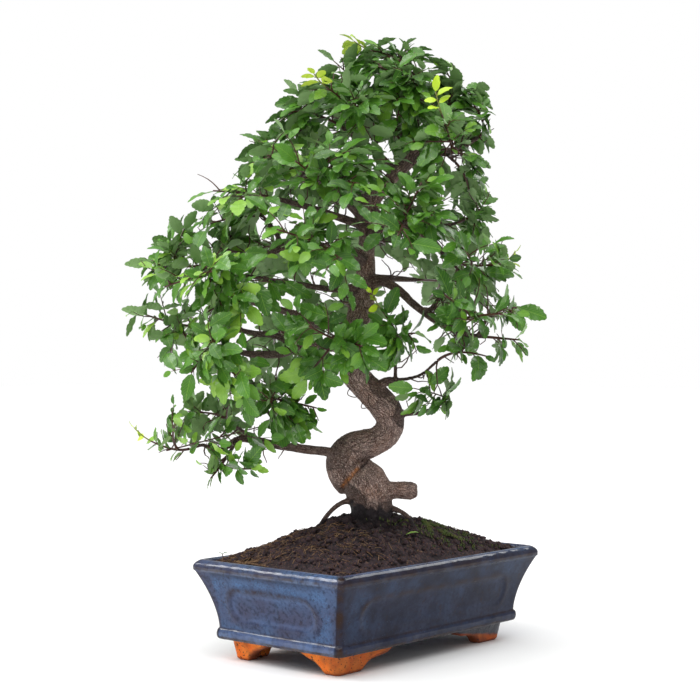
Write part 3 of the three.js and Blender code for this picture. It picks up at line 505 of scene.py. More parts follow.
foot_points, foot_faces, foot_burnt_and_shade, foot_glazed = [], [], [], []
path = foot_path()
for sx, sy in ((1, 1), (-1, 1), (-1, -1), (1, -1)):
    first = len(foot_points)
    for x, y, out_x, out_y, underside in path:
        section = []
        faces_of_foot = ((0, -1, FOOT_TOP, underside), (FOOT_THICKNESS, 1, underside, FOOT_TOP))
        for depth, inwards, start, end in faces_of_foot:
            for k in range(FOOT_ROWS + 1):
                z = start + (end - start) * k / FOOT_ROWS
                rounding = FOOT_ROUNDING * max(0, 1 - (z - underside) / ROUNDING_HEIGHT) ** 2
                section.append((FOOT_TAPER * z - depth + inwards * rounding, z))
        for lean, z in section:
            lump = FOOT_LUMP * noise.noise(Vector((sx * x, sy * y, z)) * FOOT_LUMP_SCALE)
            foot_points.append((sx * (x + out_x * (lean + lump)), sy * (y + out_y * (lean + lump)), z))
            # darker towards the cut underside, and painted shade on the front feet's faces along the long
            # side
            foot_burnt_and_shade.append(max(0, 1 - (z - underside) / DARK_EDGE_HEIGHT) + FRONT_FACE_SHADE * out_y * (sy < 0))
            run_edge = RUN_HEIGHT + RUN_SLANT * (RUN_END - x)
            foot_glazed.append((z - run_edge) / RUN_BREADTH if sx > 0 > sy else 0)
    ring = 2 * FOOT_ROWS + 2
    faces = bands(len(path), ring, first)
    faces.append(tuple(range(first, first + ring)))
    faces.append(tuple(reversed(range(first + (len(path) - 1) * ring, first + len(path) * ring))))
    foot_faces += faces if sx * sy > 0 else [face[::-1] for face in faces]
foot_mesh = mesh_of("clay_feet", foot_points, foot_faces)
store(foot_mesh, "burnt_and_shade", np.clip(foot_burnt_and_shade, 0, 1))
store(foot_mesh, "glazed", np.clip(foot_glazed, 0, 1))
piece_of("clay_feet", foot_mesh, terracotta, ["pot"])


# The drain meshes: squares of plastic netting laid over the two drain holes inside the pot. They let
# the water out and keep the soil in, and only the soil's weight holds them down.
netting, tree, shader = new_material("plastic_netting")
place = add_node(tree, "TexCoord").outputs["Object"]
threads = add_node(
    tree, "TexBrick", {"offset": 0.0}, Vector=place, Scale=420.0, Color1=colour(0.01, 0.014, 0.012),
    Color2=colour(0.012, 0.018, 0.014), Mortar=colour(0.05, 0.07, 0.055), Mortar_Size=0.12,
)
join_named(tree, shader, {
    "Base Color": threads.outputs[0], "Normal": grained(tree, 900, 0.3), "Roughness": 0.6
})
for name in ("drain_mesh_1", "drain_mesh_2"):
    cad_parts[name].data.materials[0] = netting


# The soil: dark crumbly peat mix, filled into the pot to its lip and heaped round the trunk foot.
# Crumbs and clods stand up all over it, and coarse straw-brown fibres lie on its front and left.
SOIL_EDGE, SOIL_MOUND, SOIL_LUMPS, SOIL_CELL, SOIL_SEED = 58.3, 25, 0.9, 0.85, 31
SOIL_HALF = (RIM_HALF[0] - WALL - 0.1, RIM_HALF[1] - WALL - 0.1)
FLANK_HEIGHTS = (54, 46, 36, 26, FLOOR_Z + 0.1)
HOLLOW, HOLLOW_DEPTH, HOLLOW_BREADTH = ACROSS * 3 - AWAY * 19, 7.5, 12
CALM_EDGE, CALM_SHARE = 6, 0.25
HILL_SCALE, HILL_RISE, STEP_SCALE, STEP_RISE = 0.16, 1.3, 0.22, 0.5
# Heaps, clods and crumbs: how close they lie, how high they stand, how wide, and where they start
LUMPS = [(0.17, 2.4, 0.45, (2, 5, 3)), (0.42, 2.6, 0.45, (0, 0, 0)), (1.1, 1.3, 0.5, (7, 3, 1))]
DAMP_REACH, DAMP_BY_TRUNK, SHADE_IN_GAPS, DAMP_CLOD, DAMPEST = 30, 0.75, 0.8, 0.6, 0.95
CLODS_BY_TRUNK, CLODS, CLOD_SINK, CLOD_EDGE, BIG_CLODS = 300, 1500, 0.35, 3, (0.9, 3.1)
FIBRES, FIBRE_STEPS, FIBRE_BEND, FREE_OF_TRUNK = 700, 7, 0.15, 27
FIBRE_LEFT, FIBRE_RUN, FIBRE_CROWDING, FIBRE_DEPTHS, FIBRE_HALVES = -90, 95, 1.5, (-10, 70), (88, 52)

black, dusk, fibre = colour(0.007, 0.0035, 0.006), colour(0.044, 0.022, 0.028), colour(0.14, 0.064, 0.032)
straw = colour(0.42, 0.26, 0.13)
soil_matter, tree, shader = new_material("peat")
crumb = blotched(tree, black, dusk, 1.0, 420, 0.35, 0.62)
crumb = blotched(tree, crumb, fibre, 1.0, 1100, 0.58, 0.68, 2)
crumb = mixed(tree, value_of(tree, "damp"), crumb, black)
crumb = mixed(tree, value_of(tree, "fibre"), crumb, blotched(tree, fibre, straw, 1.0, 500, 0.4, 0.6))
join_named(tree, shader, {
    "Base Color": crumb, "Normal": grained(tree, 1400, 0.9, 1.5), "Roughness": 0.88
})


def soil_height(x, y):
    along = np.maximum(0, np.cos(math.pi * x / (0.96 * RIM_LENGTH))) ** 0.8
    across = np.maximum(0, np.cos(math.pi * y / (0.92 * RIM_WIDTH))) ** 0.8
    lumps = np.sin(0.31 * x + 1.3) * np.cos(0.27 * y) + np.sin(0.13 * x - 0.19 * y)
    return SOIL_EDGE + (SOIL_MOUND + SOIL_LUMPS * lumps) * along * across


def soil_surface(x, y):
    """The mound, which is hollowed out a little in front of the trunk foot."""
    hollow = fading(np.hypot(x - HOLLOW.x, y - HOLLOW.y), HOLLOW_BREADTH)
    return soil_height(x, y) - HOLLOW_DEPTH * hollow


def crumbled(x, y):
    """How far heaps, clods and crumbs stand up at a place of the soil's surface."""
    spot = Vector((x, y, 0))
    rise = HILL_RISE * noise.noise(spot * HILL_SCALE) + STEP_RISE * noise.cell_vector(spot * STEP_SCALE).x
    for scale, height, breadth, start in LUMPS:
        rise += height * (breadth - noise.voronoi(spot * scale + Vector(start))[0][0])
    return rise


def near_trunk(x, y):
    return np.exp(-((np.hypot(x, y) / DAMP_REACH) ** 4))


class Gathered:
    """The points and faces of a piece that is put together from many small forms, with the numbers
    that its material needs."""

    def __init__(self, *kinds):
        self.points, self.faces, self.count = [], [], 0
        self.kinds = {kind: [] for kind in kinds}

    def add(self, points, faces, **numbers):
        """Adds a form with a number of each kind, either one for the whole form or one for each point."""
        self.points.append(np.array([p[:] for p in points]))
        self.faces += [tuple(int(i) + self.count for i in face) for face in faces]
        for kind, number in numbers.items():
            self.kinds[kind].append(number if np.ndim(number) else np.full(len(points), float(number)))
        self.count += len(points)

    def mesh(self, name):
        mesh = mesh_of(name, np.concatenate(self.points), self.faces)
        for kind, numbers in self.kinds.items():
            store(mesh, kind, np.concatenate(numbers))
        return mesh


xs = np.linspace(-SOIL_HALF[0], SOIL_HALF[0], int(2 * SOIL_HALF[0] / SOIL_CELL))
ys = np.linspace(-SOIL_HALF[1], SOIL_HALF[1], int(2 * SOIL_HALF[1] / SOIL_CELL))
columns, rows = len(xs), len(ys)
soil_x, soil_y = (grid.ravel() for grid in np.meshgrid(xs, ys))
from_edge = np.minimum(SOIL_HALF[0] - np.abs(soil_x), SOIL_HALF[1] - np.abs(soil_y))
rough = np.array([crumbled(x, y) for x, y in zip(soil_x, soil_y)])
soil_z = soil_surface(soil_x, soil_y) + rough * np.clip(from_edge / CALM_EDGE, CALM_SHARE, 1)
top = np.stack([soil_x, soil_y, soil_z], axis=1)
faces = [
    (j * columns + i, j * columns + i + 1, (j + 1) * columns + i + 1, (j + 1) * columns + i)
    for j in range(rows - 1) for i in range(columns - 1)
]
border = list(range(columns)) + [j * columns + columns - 1 for j in range(1, rows)]
border += [(rows - 1) * columns + i for i in reversed(range(columns - 1))]
border += [j * columns for j in reversed(range(1, rows - 1))]
flanks, upper = [], border
for k, z in enumerate(FLANK_HEIGHTS):
    inset = wall_inset(z)
    flanks.append(top[border] * [1 - inset / SOIL_HALF[0], 1 - inset / SOIL_HALF[1], 0] + [0, 0, z])
    lower = [len(top) + k * len(border) + i for i in range(len(border))]
    for i in range(len(border)):
        j = (i + 1) % len(border)
        faces.append((upper[i], lower[i], lower[j], upper[j]))
    upper = lower
faces.append(tuple(reversed(upper)))
below = np.concatenate(flanks)
# painted shade: the low places between heaps, clods and crumbs are darker
gaps = np.clip(-rough / 1.6, 0, 1)
damp = np.clip(DAMP_BY_TRUNK * near_trunk(soil_x, soil_y) + SHADE_IN_GAPS * gaps, 0, DAMPEST)
soil = Gathered("fibre", "damp")
soil.add(np.concatenate([top, below]), faces, fibre=0, damp=np.append(damp, np.zeros(len(below))))

rng = np.random.default_rng(SOIL_SEED)
clod_ball = bmesh.new()
bmesh.ops.create_icosphere(clod_ball, subdivisions=1, radius=1)
clod_corners = np.array([v.co[:] for v in clod_ball.verts])
clod_faces = [tuple(v.index for v in f.verts) for f in clod_ball.faces]
clod_ball.free()
angle = rng.uniform(0, 2 * math.pi, CLODS_BY_TRUNK)
distance = 12 + 22 * rng.random(CLODS_BY_TRUNK) ** 1.6
clod_half = np.subtract(SOIL_HALF, CLOD_EDGE)
clod_x = np.append(np.cos(angle) * distance, rng.uniform(-clod_half[0], clod_half[0], CLODS))
clod_y = np.append(np.sin(angle) * distance, rng.uniform(-clod_half[1], clod_half[1], CLODS))
clod_size = np.append(rng.uniform(*BIG_CLODS, CLODS_BY_TRUNK), 0.5 + 1.5 * rng.random(CLODS) ** 2)
for x, y, radius in zip(clod_x, clod_y, clod_size):
    turned = clod_corners * rng.uniform(0.7, 1.25, (len(clod_corners), 1))
    z = float(soil_surface(x, y)) + radius * CLOD_SINK
    soil.add(turned * radius + (x, y, z), clod_faces, fibre=0, damp=DAMP_CLOD * near_trunk(x, y))

fibre_tip = 3 * (FIBRE_STEPS - 1)
fibre_faces = bands(FIBRE_STEPS, 3) + [(2, 1, 0), (fibre_tip, fibre_tip + 1, fibre_tip + 2)]
for strand in range(FIBRES):
    heading = rng.uniform(0, 2 * math.pi)
    if strand % 5:
        near = ACROSS * (FIBRE_LEFT + FIBRE_RUN * rng.random() ** FIBRE_CROWDING)
        near -= AWAY * rng.uniform(*FIBRE_DEPTHS)
        x, y = near.x, near.y
    else:
        x = rng.uniform(-FIBRE_HALVES[0], FIBRE_HALVES[0])
        y = rng.uniform(-FIBRE_HALVES[1], FIBRE_HALVES[1])
    if math.hypot(x, y) < FREE_OF_TRUNK:
        continue
    radius, stride, lift = rng.uniform(0.09, 0.22), rng.uniform(0.6, 1.7), rng.uniform(0.05, 1.1)
    path = []
    for step in range(FIBRE_STEPS):
        x = min(max(x, -SOIL_HALF[0] + 1), SOIL_HALF[0] - 1)
        y = min(max(y, -SOIL_HALF[1] + 1), SOIL_HALF[1] - 1)
        arch = lift * math.sin(math.pi * step / (FIBRE_STEPS - 1))
        path.append(Vector((x, y, float(soil_surface(x, y)) + 0.6 + arch)))
        heading += rng.normal(0, FIBRE_BEND)
        x += stride * math.cos(heading)
        y += stride * math.sin(heading)
    side = Vector((-math.sin(heading), math.cos(heading), 0))
    thread = []
    for spot in path:
        for k in range(3):
            angle = 2 * math.pi * k / 3
            thread.append(spot + radius * (side * math.cos(angle) + Vector((0, 0, math.sin(angle)))))
    soil.add(thread, fibre_faces, fibre=rng.uniform(0.5, 1), damp=0)
piece_of("peat_surface", soil.mesh("peat_surface"), soil_matter, ["soil"])


# The moss: a low cushion of short upright tufts that has spread over the soil behind and to the right
# of the trunk, and holds on to it by fine roots. It thins out at its edge.
MOSS_HEART, MOSS_REACH, MOSS_DEPTH, MOSS_TUFTS = ACROSS * 34 + AWAY * 4, 22, 13, 5200
MOSS_FREE_OF_TRUNK, MOSS_GAP_SCALE, MOSS_GAP, TUFT_FOOT, TUFT_LEAN = 13.5, 0.13, 0.06, 0.5, 0.5
TUFT_FACES = [(0, 1, 3), (1, 2, 3), (2, 0, 3), (2, 1, 0)]
moss_deep, moss_bright = colour(0.022, 0.022, 0.009), colour(0.17, 0.19, 0.03)
moss_mid = colour(0.05, 0.1, 0.015)
moss_matter, tree, shader = new_material("moss")
moss_green = mixed(tree, value_of(tree, "tip"), moss_deep, moss_bright)
join_named(tree, shader, {
    "Base Color": blotched(tree, moss_green, moss_mid, 1.0, 240, 0.4, 0.65),
    "Normal": grained(tree, 1500, 0.6), "Roughness": 0.75,
})
moss = Gathered("tip")
for tuft in range(MOSS_TUFTS):
    angle, distance = rng.uniform(0, 2 * math.pi), abs(rng.normal(0, 1))
    spot = MOSS_HEART + ACROSS * MOSS_REACH * distance * math.cos(angle)
    spot += AWAY * MOSS_DEPTH * distance * math.sin(angle)
    outside = abs(spot.x) > SOIL_HALF[0] - 3 or abs(spot.y) > SOIL_HALF[1] - 3
    bare = noise.noise(spot * MOSS_GAP_SCALE) < MOSS_GAP
    if outside or bare or math.hypot(spot.x, spot.y) < MOSS_FREE_OF_TRUNK:
        continue
    tall = rng.uniform(1.1, 2.6)
    lean = Vector((rng.normal(0, TUFT_LEAN), rng.normal(0, TUFT_LEAN), 1)).normalized()
    foot = Vector((spot.x, spot.y, float(soil_height(spot.x, spot.y)) + 0.4))
    turn = rng.uniform(0, math.pi)
    angles = [turn + 2 * math.pi * k / 3 for k in range(3)]
    corners = [foot + TUFT_FOOT * Vector((math.cos(a), math.sin(a), 0)) for a in angles]
    moss.add([*corners, foot + lean * tall], TUFT_FACES, tip=np.array([0, 0, 0, 1]))
piece_of("moss_cushion", moss.mesh("moss_cushion"), moss_matter)


# The wood: a stout foot, a trunk that winds up through two sharp bends, a cut stub, roots at the
# surface and the boughs, all grown as one. The bark is grey-brown, pimpled and darker where it is wet,
# with painted shade in the crease by the bulb.
# Each way lists places as seen from the front, across, away and up, with the wood's radius there.
WOOD_CELL, STOUT, STOUT_SIDES, THIN_SIDES = 0.82, 5, 18, 10
ROOT_DEPTH = 34
TRUNK_FOOT = [
    [0, 0, ROOT_DEPTH, 11], [0, 0, 60, 12], [0, 0, 80, 12.7], [0, -1, 91, 13.4], [-2, -2, 101, 14.8],
    [-6, -2, 110, 13.5], [-9, -1, 117, 9],
]
LEADER = [
    [-12, 3, 101, 9], [-16, 3, 111, 11.4], [-17, 3, 120, 11.7], [-11, 5, 127, 10.6], [4, 6, 132, 8.8],
    [11, 5, 139, 8.8], [12, 3, 146, 9.2], [9, 1, 153, 9.7], [1, -2, 162, 9.2], [-6, -3, 169, 8.7],
    [-11, -4, 176, 9], [-12, -5, 185, 8.4], [-12, -5, 194, 8], [-8, -3, 211, 7.6], [-5, -1, 222, 7.4],
    [-4, 0, 232, 6.8], [-3, 2, 253, 5.3], [-3, 4, 269, 4.8], [0, 5, 282, 4.7], [8, 6, 294, 4.5],
    [16, 6, 303, 4.3], [25, 5, 311, 4], [34, 3, 326, 3], [38, 2, 345, 2.4], [35, 1, 357, 1.9],
    [26, 0, 367, 1.4],
]
STUB = [[8, -3, 101, 6], [17, -5, 101, 5.6], [25, -6, 101, 5.8], [29, -6, 101, 4]]
SURFACE_ROOTS = [
    [[-8, -3, 94, 3.4], [-17, -7, 94, 1.8], [-25, -11, 89, 1.6], [-32, -14, 80, 1.6], [-38, -17, 66, 1.5]],
    [[8, -2, 90, 3], [18, -6, 88, 1.6], [25, -9, 82, 1.5], [30, -12, 66, 1.4]],
]
BRANCHES = {
    "lowLeft": [
        [-14, 1, 121, 4.2], [-27, -2, 125, 3.2], [-41, -6, 127, 3], [-53, -11, 129, 2.8],
        [-63, -15, 131, 2.7], [-75, -19, 134, 2.6], [-84, -22, 134, 2.2], [-95, -25, 127, 1.6],
        [-104, -28, 131, 1.3], [-112, -31, 129, 1.1],
    ],
    "lowLeftUp": [[-57, -12, 130, 1.8], [-60, -10, 143, 1.5], [-67, -8, 153, 1.3], [-75, -4, 163, 1]],
    "lowLeftInner": [[-47, -8, 128, 1.5], [-51, -12, 141, 1.3], [-54, -20, 153, 1]],
    "lowLeftDown": [[-84, -22, 134, 1.6], [-87, -28, 128, 1.3], [-90, -33, 123, 1.1]],
    "lowLeftBack": [[-72, -18, 134, 1.6], [-84, -2, 140, 1.3], [-94, 12, 146, 1.1]],
    "left": [
        [-12, -5, 190, 4.5], [-28, -10, 193, 3.6], [-42, -15, 194, 3.3], [-55, -22, 188, 2.9],
        [-67, -30, 187, 2.5], [-78, -40, 188, 2], [-88, -50, 192, 1.4],
    ],
    "leftFork": [
        [-46, -17, 193, 2.6], [-61, -14, 199, 2.2], [-72, -10, 200, 2], [-82, -8, 202, 1.8],
        [-96, -8, 203, 1.5], [-108, -10, 204, 1.1],
    ],
    "leftBack": [
        [-10, -4, 203, 4], [-28, 6, 206, 3.3], [-38, 14, 208, 3], [-52, 26, 214, 2.6],
        [-70, 40, 219, 2.1], [-82, 48, 222, 1.4],
    ],
    "leftBackLow": [[-38, 14, 208, 2], [-50, 36, 204, 1.6], [-58, 52, 202, 1.1]],
    "leftThin": [
        [-5, -1, 231, 3], [-22, -8, 228, 2.2], [-40, -18, 230, 1.9], [-62, -30, 233, 1.6],
        [-84, -42, 236, 1.3],
    ],
    "upperLeft": [
        [-4, 1, 250, 4.4], [-18, 2, 252, 3.8], [-33, 2, 252, 3.4], [-45, 0, 252, 3.1],
        [-57, -3, 254, 2.7], [-67, -6, 250, 2.3], [-84, -10, 246, 1.9], [-104, -12, 243, 1.4],
    ],
    "upperLeftUp": [[-56, -3, 254, 2], [-60, -1, 263, 1.7], [-66, 6, 272, 1.4]],
    "upperLeftMiddle": [[-70, -7, 249, 1.9], [-80, 3, 251, 1.5], [-88, 12, 253, 1.1]],
    "upperLeftBack": [[-33, 2, 252, 2.2], [-48, 20, 256, 1.8], [-60, 36, 258, 1.3]],
    "front": [[-4, 0, 245, 3], [-12, -22, 250, 2.5], [-22, -42, 252, 1.8]],
    "frontRight": [[-3, 3, 262, 2.8], [6, -18, 266, 2.3], [14, -38, 268, 1.6]],
    "frontLow": [[-10, -6, 196, 2.6], [-14, -24, 198, 2.1], [-16, -38, 196, 1.5]],
    "frontHigh": [[-3, 4, 270, 2.6], [-14, -18, 280, 2.2], [-24, -36, 287, 1.6]],
    "knob": [[2, -4, 166, 3.4], [10, -8, 170, 3], [16, -10, 170, 2.6]],
    "knobUp": [[15, -10, 170, 1.4], [15, -14, 181, 1.2], [15, -18, 190, 1.1]],
    "knobRight": [[16, -10, 171, 1.3], [24, -12, 172, 1.2], [32, -14, 175, 1.1], [41, -18, 183, 1]],
    "bendTwig": [[10, 3, 148, 2.4], [21, 1, 149, 1.7], [31, -2, 150, 1.4], [40, -5, 153, 1.2]],
    "right": [
        [-4, 0, 230, 4.2], [4, -3, 233, 3.4], [10, -5, 232, 3.1], [18, -8, 227, 2.8],
        [26, -11, 219, 2.6], [35, -14, 212, 2.5], [42, -16, 207, 2.3], [52, -18, 202, 2],
        [61, -18, 199, 1.8], [71, -20, 198, 1.3],
    ],
    "rightUp": [[35, -14, 212, 1.8], [41, -10, 220, 1.6], [47, -6, 228, 1.1]],
    "rightEnd": [[66, -19, 198, 1.5], [71, -22, 208, 1.4], [77, -24, 213, 1.1]],
    "rightFront": [[42, -16, 207, 1.8], [50, -34, 206, 1.4], [54, -46, 208, 1]],
    "highRight": [
        [-1, 4, 278, 4], [8, 4, 274, 3.4], [16, 4, 270, 3], [34, 6, 264, 2.7], [46, 9, 252, 2.4],
        [54, 14, 244, 1.8],
    ],
    "highRightUp": [[34, 6, 264, 2], [46, -4, 268, 1.6], [54, -8, 270, 1.1]],
    "highRightBack": [[20, 4, 269, 1.8], [28, 20, 272, 1.5], [34, 34, 275, 1.1]],
    "highRightFront": [[46, 9, 252, 1.8], [52, -10, 246, 1.4], [56, -24, 243, 1]],
    "topRight": [
        [22, 5, 308, 3.2], [31, 4, 313, 2.8], [44, 3, 316, 2.4], [56, 1, 318, 2.1],
        [68, -2, 325, 1.5],
    ],
    "topRightBack": [[47, 3, 316, 1.6], [54, 8, 310, 1.1]],
    "topRightFront": [[36, 4, 314, 1.7], [44, -16, 312, 1.4], [48, -30, 310, 1.1]],
    "crownRight": [[34, 3, 326, 1.8], [44, 2, 336, 1.4], [48, 0, 342, 1.1]],
    "crownFront": [[37, 2, 340, 1.5], [30, -12, 350, 1.1]],
    "crownBack": [[38, 2, 346, 1.4], [40, 14, 354, 1.1]],
    "crownRear": [[32, 3, 322, 1.8], [24, 20, 328, 1.5], [18, 32, 332, 1.1]],
    "topLeft": [[16, 6, 303, 3.2], [4, 6, 315, 2.6], [-8, 6, 325, 2.2], [-20, 4, 333, 1.4]],
    "topLeftBack": [[-4, 6, 322, 1.6], [-6, 20, 330, 1.2]],
    "topLeftFront": [[-8, 6, 325, 1.6], [-10, -10, 334, 1.2]],
    "topLeftUp": [[4, 6, 315, 1.6], [2, 4, 332, 1.2]],
    "shoulder": [[2, 5, 284, 3.4], [-16, 8, 290, 2.8], [-36, 10, 298, 2.4], [-50, 10, 305, 1.6]],
    "shoulderBack": [[-36, 10, 298, 1.6], [-42, 26, 300, 1.1]],
    "shoulderFront": [[-28, 9, 294, 1.8], [-36, -8, 300, 1.2]],
    "shoulderLow": [[-2, 4, 268, 3.2], [-18, -4, 273, 2.7], [-38, -12, 279, 2.3], [-58, -18, 284, 1.6]],
    "backHigh": [[-3, 2, 255, 3.2], [0, 24, 258, 2.7], [4, 46, 262, 1.8]],
    "backLow": [[-8, -3, 212, 3], [-8, 20, 216, 2.6], [-12, 40, 220, 1.7]],
    "backTop": [[0, 5, 284, 2.6], [-6, 26, 290, 1.8]],
    "backRight": [[-4, 0, 236, 2.8], [14, 18, 236, 2.3], [30, 34, 236, 1.6]],
}


def across_away_up(point):
    return ACROSS * point[0] + AWAY * point[1] + Vector((0, 0, point[2]))


def winding(points, per_part=8):
    """A smooth way through points, each with a radius that changes evenly between them."""
    spots = [across_away_up(p) for p in points]
    radii = [p[3] for p in points]
    spots = [spots[0] * 2 - spots[1]] + spots + [spots[-1] * 2 - spots[-2]]
    places, sizes = [], []
    for i in range(1, len(spots) - 2):
        before, here, there, after = spots[i - 1:i + 3]
        start, end = (there - before) * 0.5, (after - here) * 0.5
        for step in range(per_part):
            t = step / per_part
            places.append(
                here * (2 * t**3 - 3 * t**2 + 1) + start * (t**3 - 2 * t**2 + t)
                + there * (3 * t**2 - 2 * t**3) + end * (t**3 - t**2)
            )
            sizes.append(radii[i - 1] + (radii[i] - radii[i - 1]) * t)
    places.append(spots[-2])
    sizes.append(radii[-1])
    return places, sizes


def tangents_of(places):
    found = []
    for i in range(len(places)):
        found.append((places[min(i + 1, len(places) - 1)] - places[max(i - 1, 0)]).normalized())
    return found


def tube(places, sizes, sides):
    """The points and faces of a closed tube along a way, whose sides don't twist."""
    tangents = tangents_of(places)
    side = tangents[0].orthogonal().normalized()
    points = []
    for place, size_here, tangent in zip(places, sizes, tangents):
        side = (side - tangent * side.dot(tangent)).normalized()
        other = tangent.cross(side)
        for k in range(sides):
            angle = 2 * math.pi * k / sides
            points.append(place + size_here * (side * math.cos(angle) + other * math.sin(angle)))
    last = (len(places) - 1) * sides
    ends = [tuple(range(sides))[::-1], tuple(range(last, last + sides))]
    return points, bands(len(places), sides) + ends


ways = [winding(limb) for limb in [TRUNK_FOOT, LEADER, STUB, *SURFACE_ROOTS, *BRANCHES.values()]]
limbs = Gathered()
for places, sizes in ways:
    limbs.add(*tube(places, sizes, STOUT_SIDES if max(sizes) > STOUT else THIN_SIDES))
raw_piece = bpy.data.objects.new("raw_wood", limbs.mesh("wood"))
bpy.context.scene.collection.objects.link(raw_piece)
join = raw_piece.modifiers.new("join", "REMESH")
join.mode = "VOXEL"
join.voxel_size = WOOD_CELL * MM
soften = raw_piece.modifiers.new("soften", "SMOOTH")
soften.factor = 0.5
soften.iterations = 3
grown = raw_piece.evaluated_get(bpy.context.evaluated_depsgraph_get())
wood_mesh = bpy.data.meshes.new_from_object(grown)
bpy.data.objects.remove(raw_piece)

# The grain runs along each limb: where a point of the bark is, from the nearest limb's own middle
GRAIN_STRETCH, GRAIN_SHIFT, NEAREST = 0.3, 40, 5
centres, frames = [], []
for way, (places, sizes) in enumerate(ways):
    side, along = None, 0.0
    for i, (place, tangent) in enumerate(zip(places, tangents_of(places))):
        side = tangent.orthogonal().normalized() if side is None else side
        side = (side - tangent * side.dot(tangent)).normalized()
        along += (place - places[i - 1]).length if i else 0
        centres.append((place, sizes[i], way))
        frames.append((side, tangent.cross(side), tangent, along))
finder = kdtree.KDTree(len(centres))
for i, (place, radius, way) in enumerate(centres):
    finder.insert(place, i)
finder.balance()


def numbers_of(mesh, key):
    """Three numbers for each of the mesh's points, such as where it is."""
    numbers = np.empty(len(mesh.vertices) * 3)
    mesh.vertices.foreach_get(key, numbers)
    return numbers.reshape(-1, 3)


corners, normals = numbers_of(wood_mesh, "co") / MM, numbers_of(wood_mesh, "normal")
bark_place, girth, lifts = np.empty_like(corners), np.empty(len(corners)), np.empty(len(corners))
for v, spot in enumerate(corners):
    spot = Vector(spot)
    near = finder.find_n(spot, NEAREST)
    index = min(near, key=lambda hit: hit[2] / centres[hit[1]][1])[1]
    place, radius, way = centres[index]
    side, other, tangent, along = frames[index]
    offset = spot - place
    length_here = GRAIN_STRETCH * (along + offset.dot(tangent)) + GRAIN_SHIFT * way
    here = Vector((offset.dot(side), offset.dot(other), length_here))
    bark_place[v], girth[v] = here, radius
    full = min(1, radius / 8)
    ridges = noise.noise(here * 0.55)
    lumps = noise.noise(spot * 0.16)
    pimples = noise.noise(spot * 1.3)
    flakes = abs(noise.noise(here * 0.9 + Vector((9, 4, 2))))
    lifts[v] = full * (0.42 * ridges + 0.5 * lumps + 0.22 * pimples - 0.35 * flakes) + 0.06 * pimples
pushed = corners + normals * lifts[:, None]


def across_and_up(points):
    """Where points are as seen from the front."""
    return np.stack([points @ np.array(ACROSS), points[:, 2]], axis=1)


def gap_to(flat, start, end):
    """How far points, as seen from the front, are from a straight line between two of them."""
    way = np.subtract(end, start)
    spots = flat - start
    share = np.clip(spots @ way / (way @ way), 0, 1)
    return np.linalg.norm(spots - share[:, None] * way, axis=1)


# The bulb of the foot stands out in front of the trunk's first turn, with a crease between them
CREASE = [(-3, 119.5), (-9, 115), (-13.5, 110.5), (-17.5, 104.5), (-19, 99)]
CREASE_DEPTH, CREASE_BREADTH, CREASE_SHADE, CREASE_GIRTH = 2.2, 1.3, 0.9, 8
BULB, BULB_RISE, BULB_RADIUS = (-2, 103), 2.0, 10.5
flat = across_and_up(pushed)
crease_gap = np.min([gap_to(flat, *line) for line in zip(CREASE, CREASE[1:])], axis=0)
in_front = (pushed @ np.array(AWAY) < -2) & (girth > CREASE_GIRTH)
pushed -= normals * (CREASE_DEPTH * fading(crease_gap, CREASE_BREADTH) * in_front)[:, None]
bulb_gap = np.hypot(flat[:, 0] - BULB[0], pushed[:, 2] - BULB[1])
bulb = BULB_RISE * np.exp(-((bulb_gap / BULB_RADIUS) ** 4))
pushed += normals * (bulb * in_front * np.clip(crease_gap / 2, 0, 1))[:, None]
wood_mesh.vertices.foreach_set("co", (pushed * MM).ravel())

# The rusty scar beside the crease, and how far up and out the wood is wet
SCAR, SCAR_BREADTH = ((-9, 115), (-18, 104)), 1.2
WET_TOP, WET_SLANT, WET_WANDER, WET_EDGE, ALWAYS_WET, WET_GIRTH = 93, 0.12, 4, 2.5, 84, 2.2
flat = across_and_up(pushed)
scar = fading(gap_to(flat, *SCAR), SCAR_BREADTH) * (pushed @ np.array(AWAY) < 0)
wet_line = WET_TOP - WET_SLANT * flat[:, 0] + WET_WANDER * waves(pushed, 0.25)
wet = np.clip((wet_line - flat[:, 1]) / WET_EDGE, 0, 1) * (girth > WET_GIRTH)
store(wood_mesh, "scar", scar)
# painted shade along the crease in front of the bulb
store(wood_mesh, "crease", fading(crease_gap, CREASE_SHADE) * in_front)
store(wood_mesh, "wet", np.maximum(wet, 0.9 * (flat[:, 1] < ALWAYS_WET)))
store(wood_mesh, "girth", np.clip((girth - 1.2) / 5, 0, 1))
store(wood_mesh, "bark_place", bark_place * MM)

grey, ash, umber = colour(0.31, 0.205, 0.17), colour(0.86, 0.67, 0.585), colour(0.08, 0.042, 0.034)
russet, wet_and_shaded_bark, rust = colour(0.3, 0.15, 0.095), colour(0.016, 0.009, 0.012), colour(0.62, 0.24, 0.08)
twig_bark = colour(0.035, 0.018, 0.014)
bark, tree, shader = new_material("elm_bark")
where = place_of(tree, "bark_place")
streaks = add_node(tree, "TexNoise", Vector=where, Scale=650.0, Detail=6.0).outputs["Fac"]
cracks = add_node(tree, "TexVoronoi", {"feature": "DISTANCE_TO_EDGE"}, Vector=where, Scale=640.0)
cracked = spread(tree, cracks.outputs["Distance"], 1.0, 0.0, 0.0, 0.12)
tone = mixed(tree, spread(tree, streaks, 0.0, 1.0, 0.38, 0.64), umber, grey)
tone = blotched(tree, tone, russet, 0.6, 95, 0.45, 0.7)
tone = blotched(tree, tone, ash, 0.62, 1900, 0.5, 0.62, 3)
tone = blotched(tree, tone, umber, 0.6, 1500, 0.54, 0.63, 2)
tone = blotched(tree, tone, ash, 0.24, 200, 0.5, 0.7)
tone = mixed(tree, times(tree, cracked, 0.55), tone, umber)
tone = mixed(tree, spread(tree, value_of(tree, "girth"), 0.8, 0.0), tone, twig_bark)
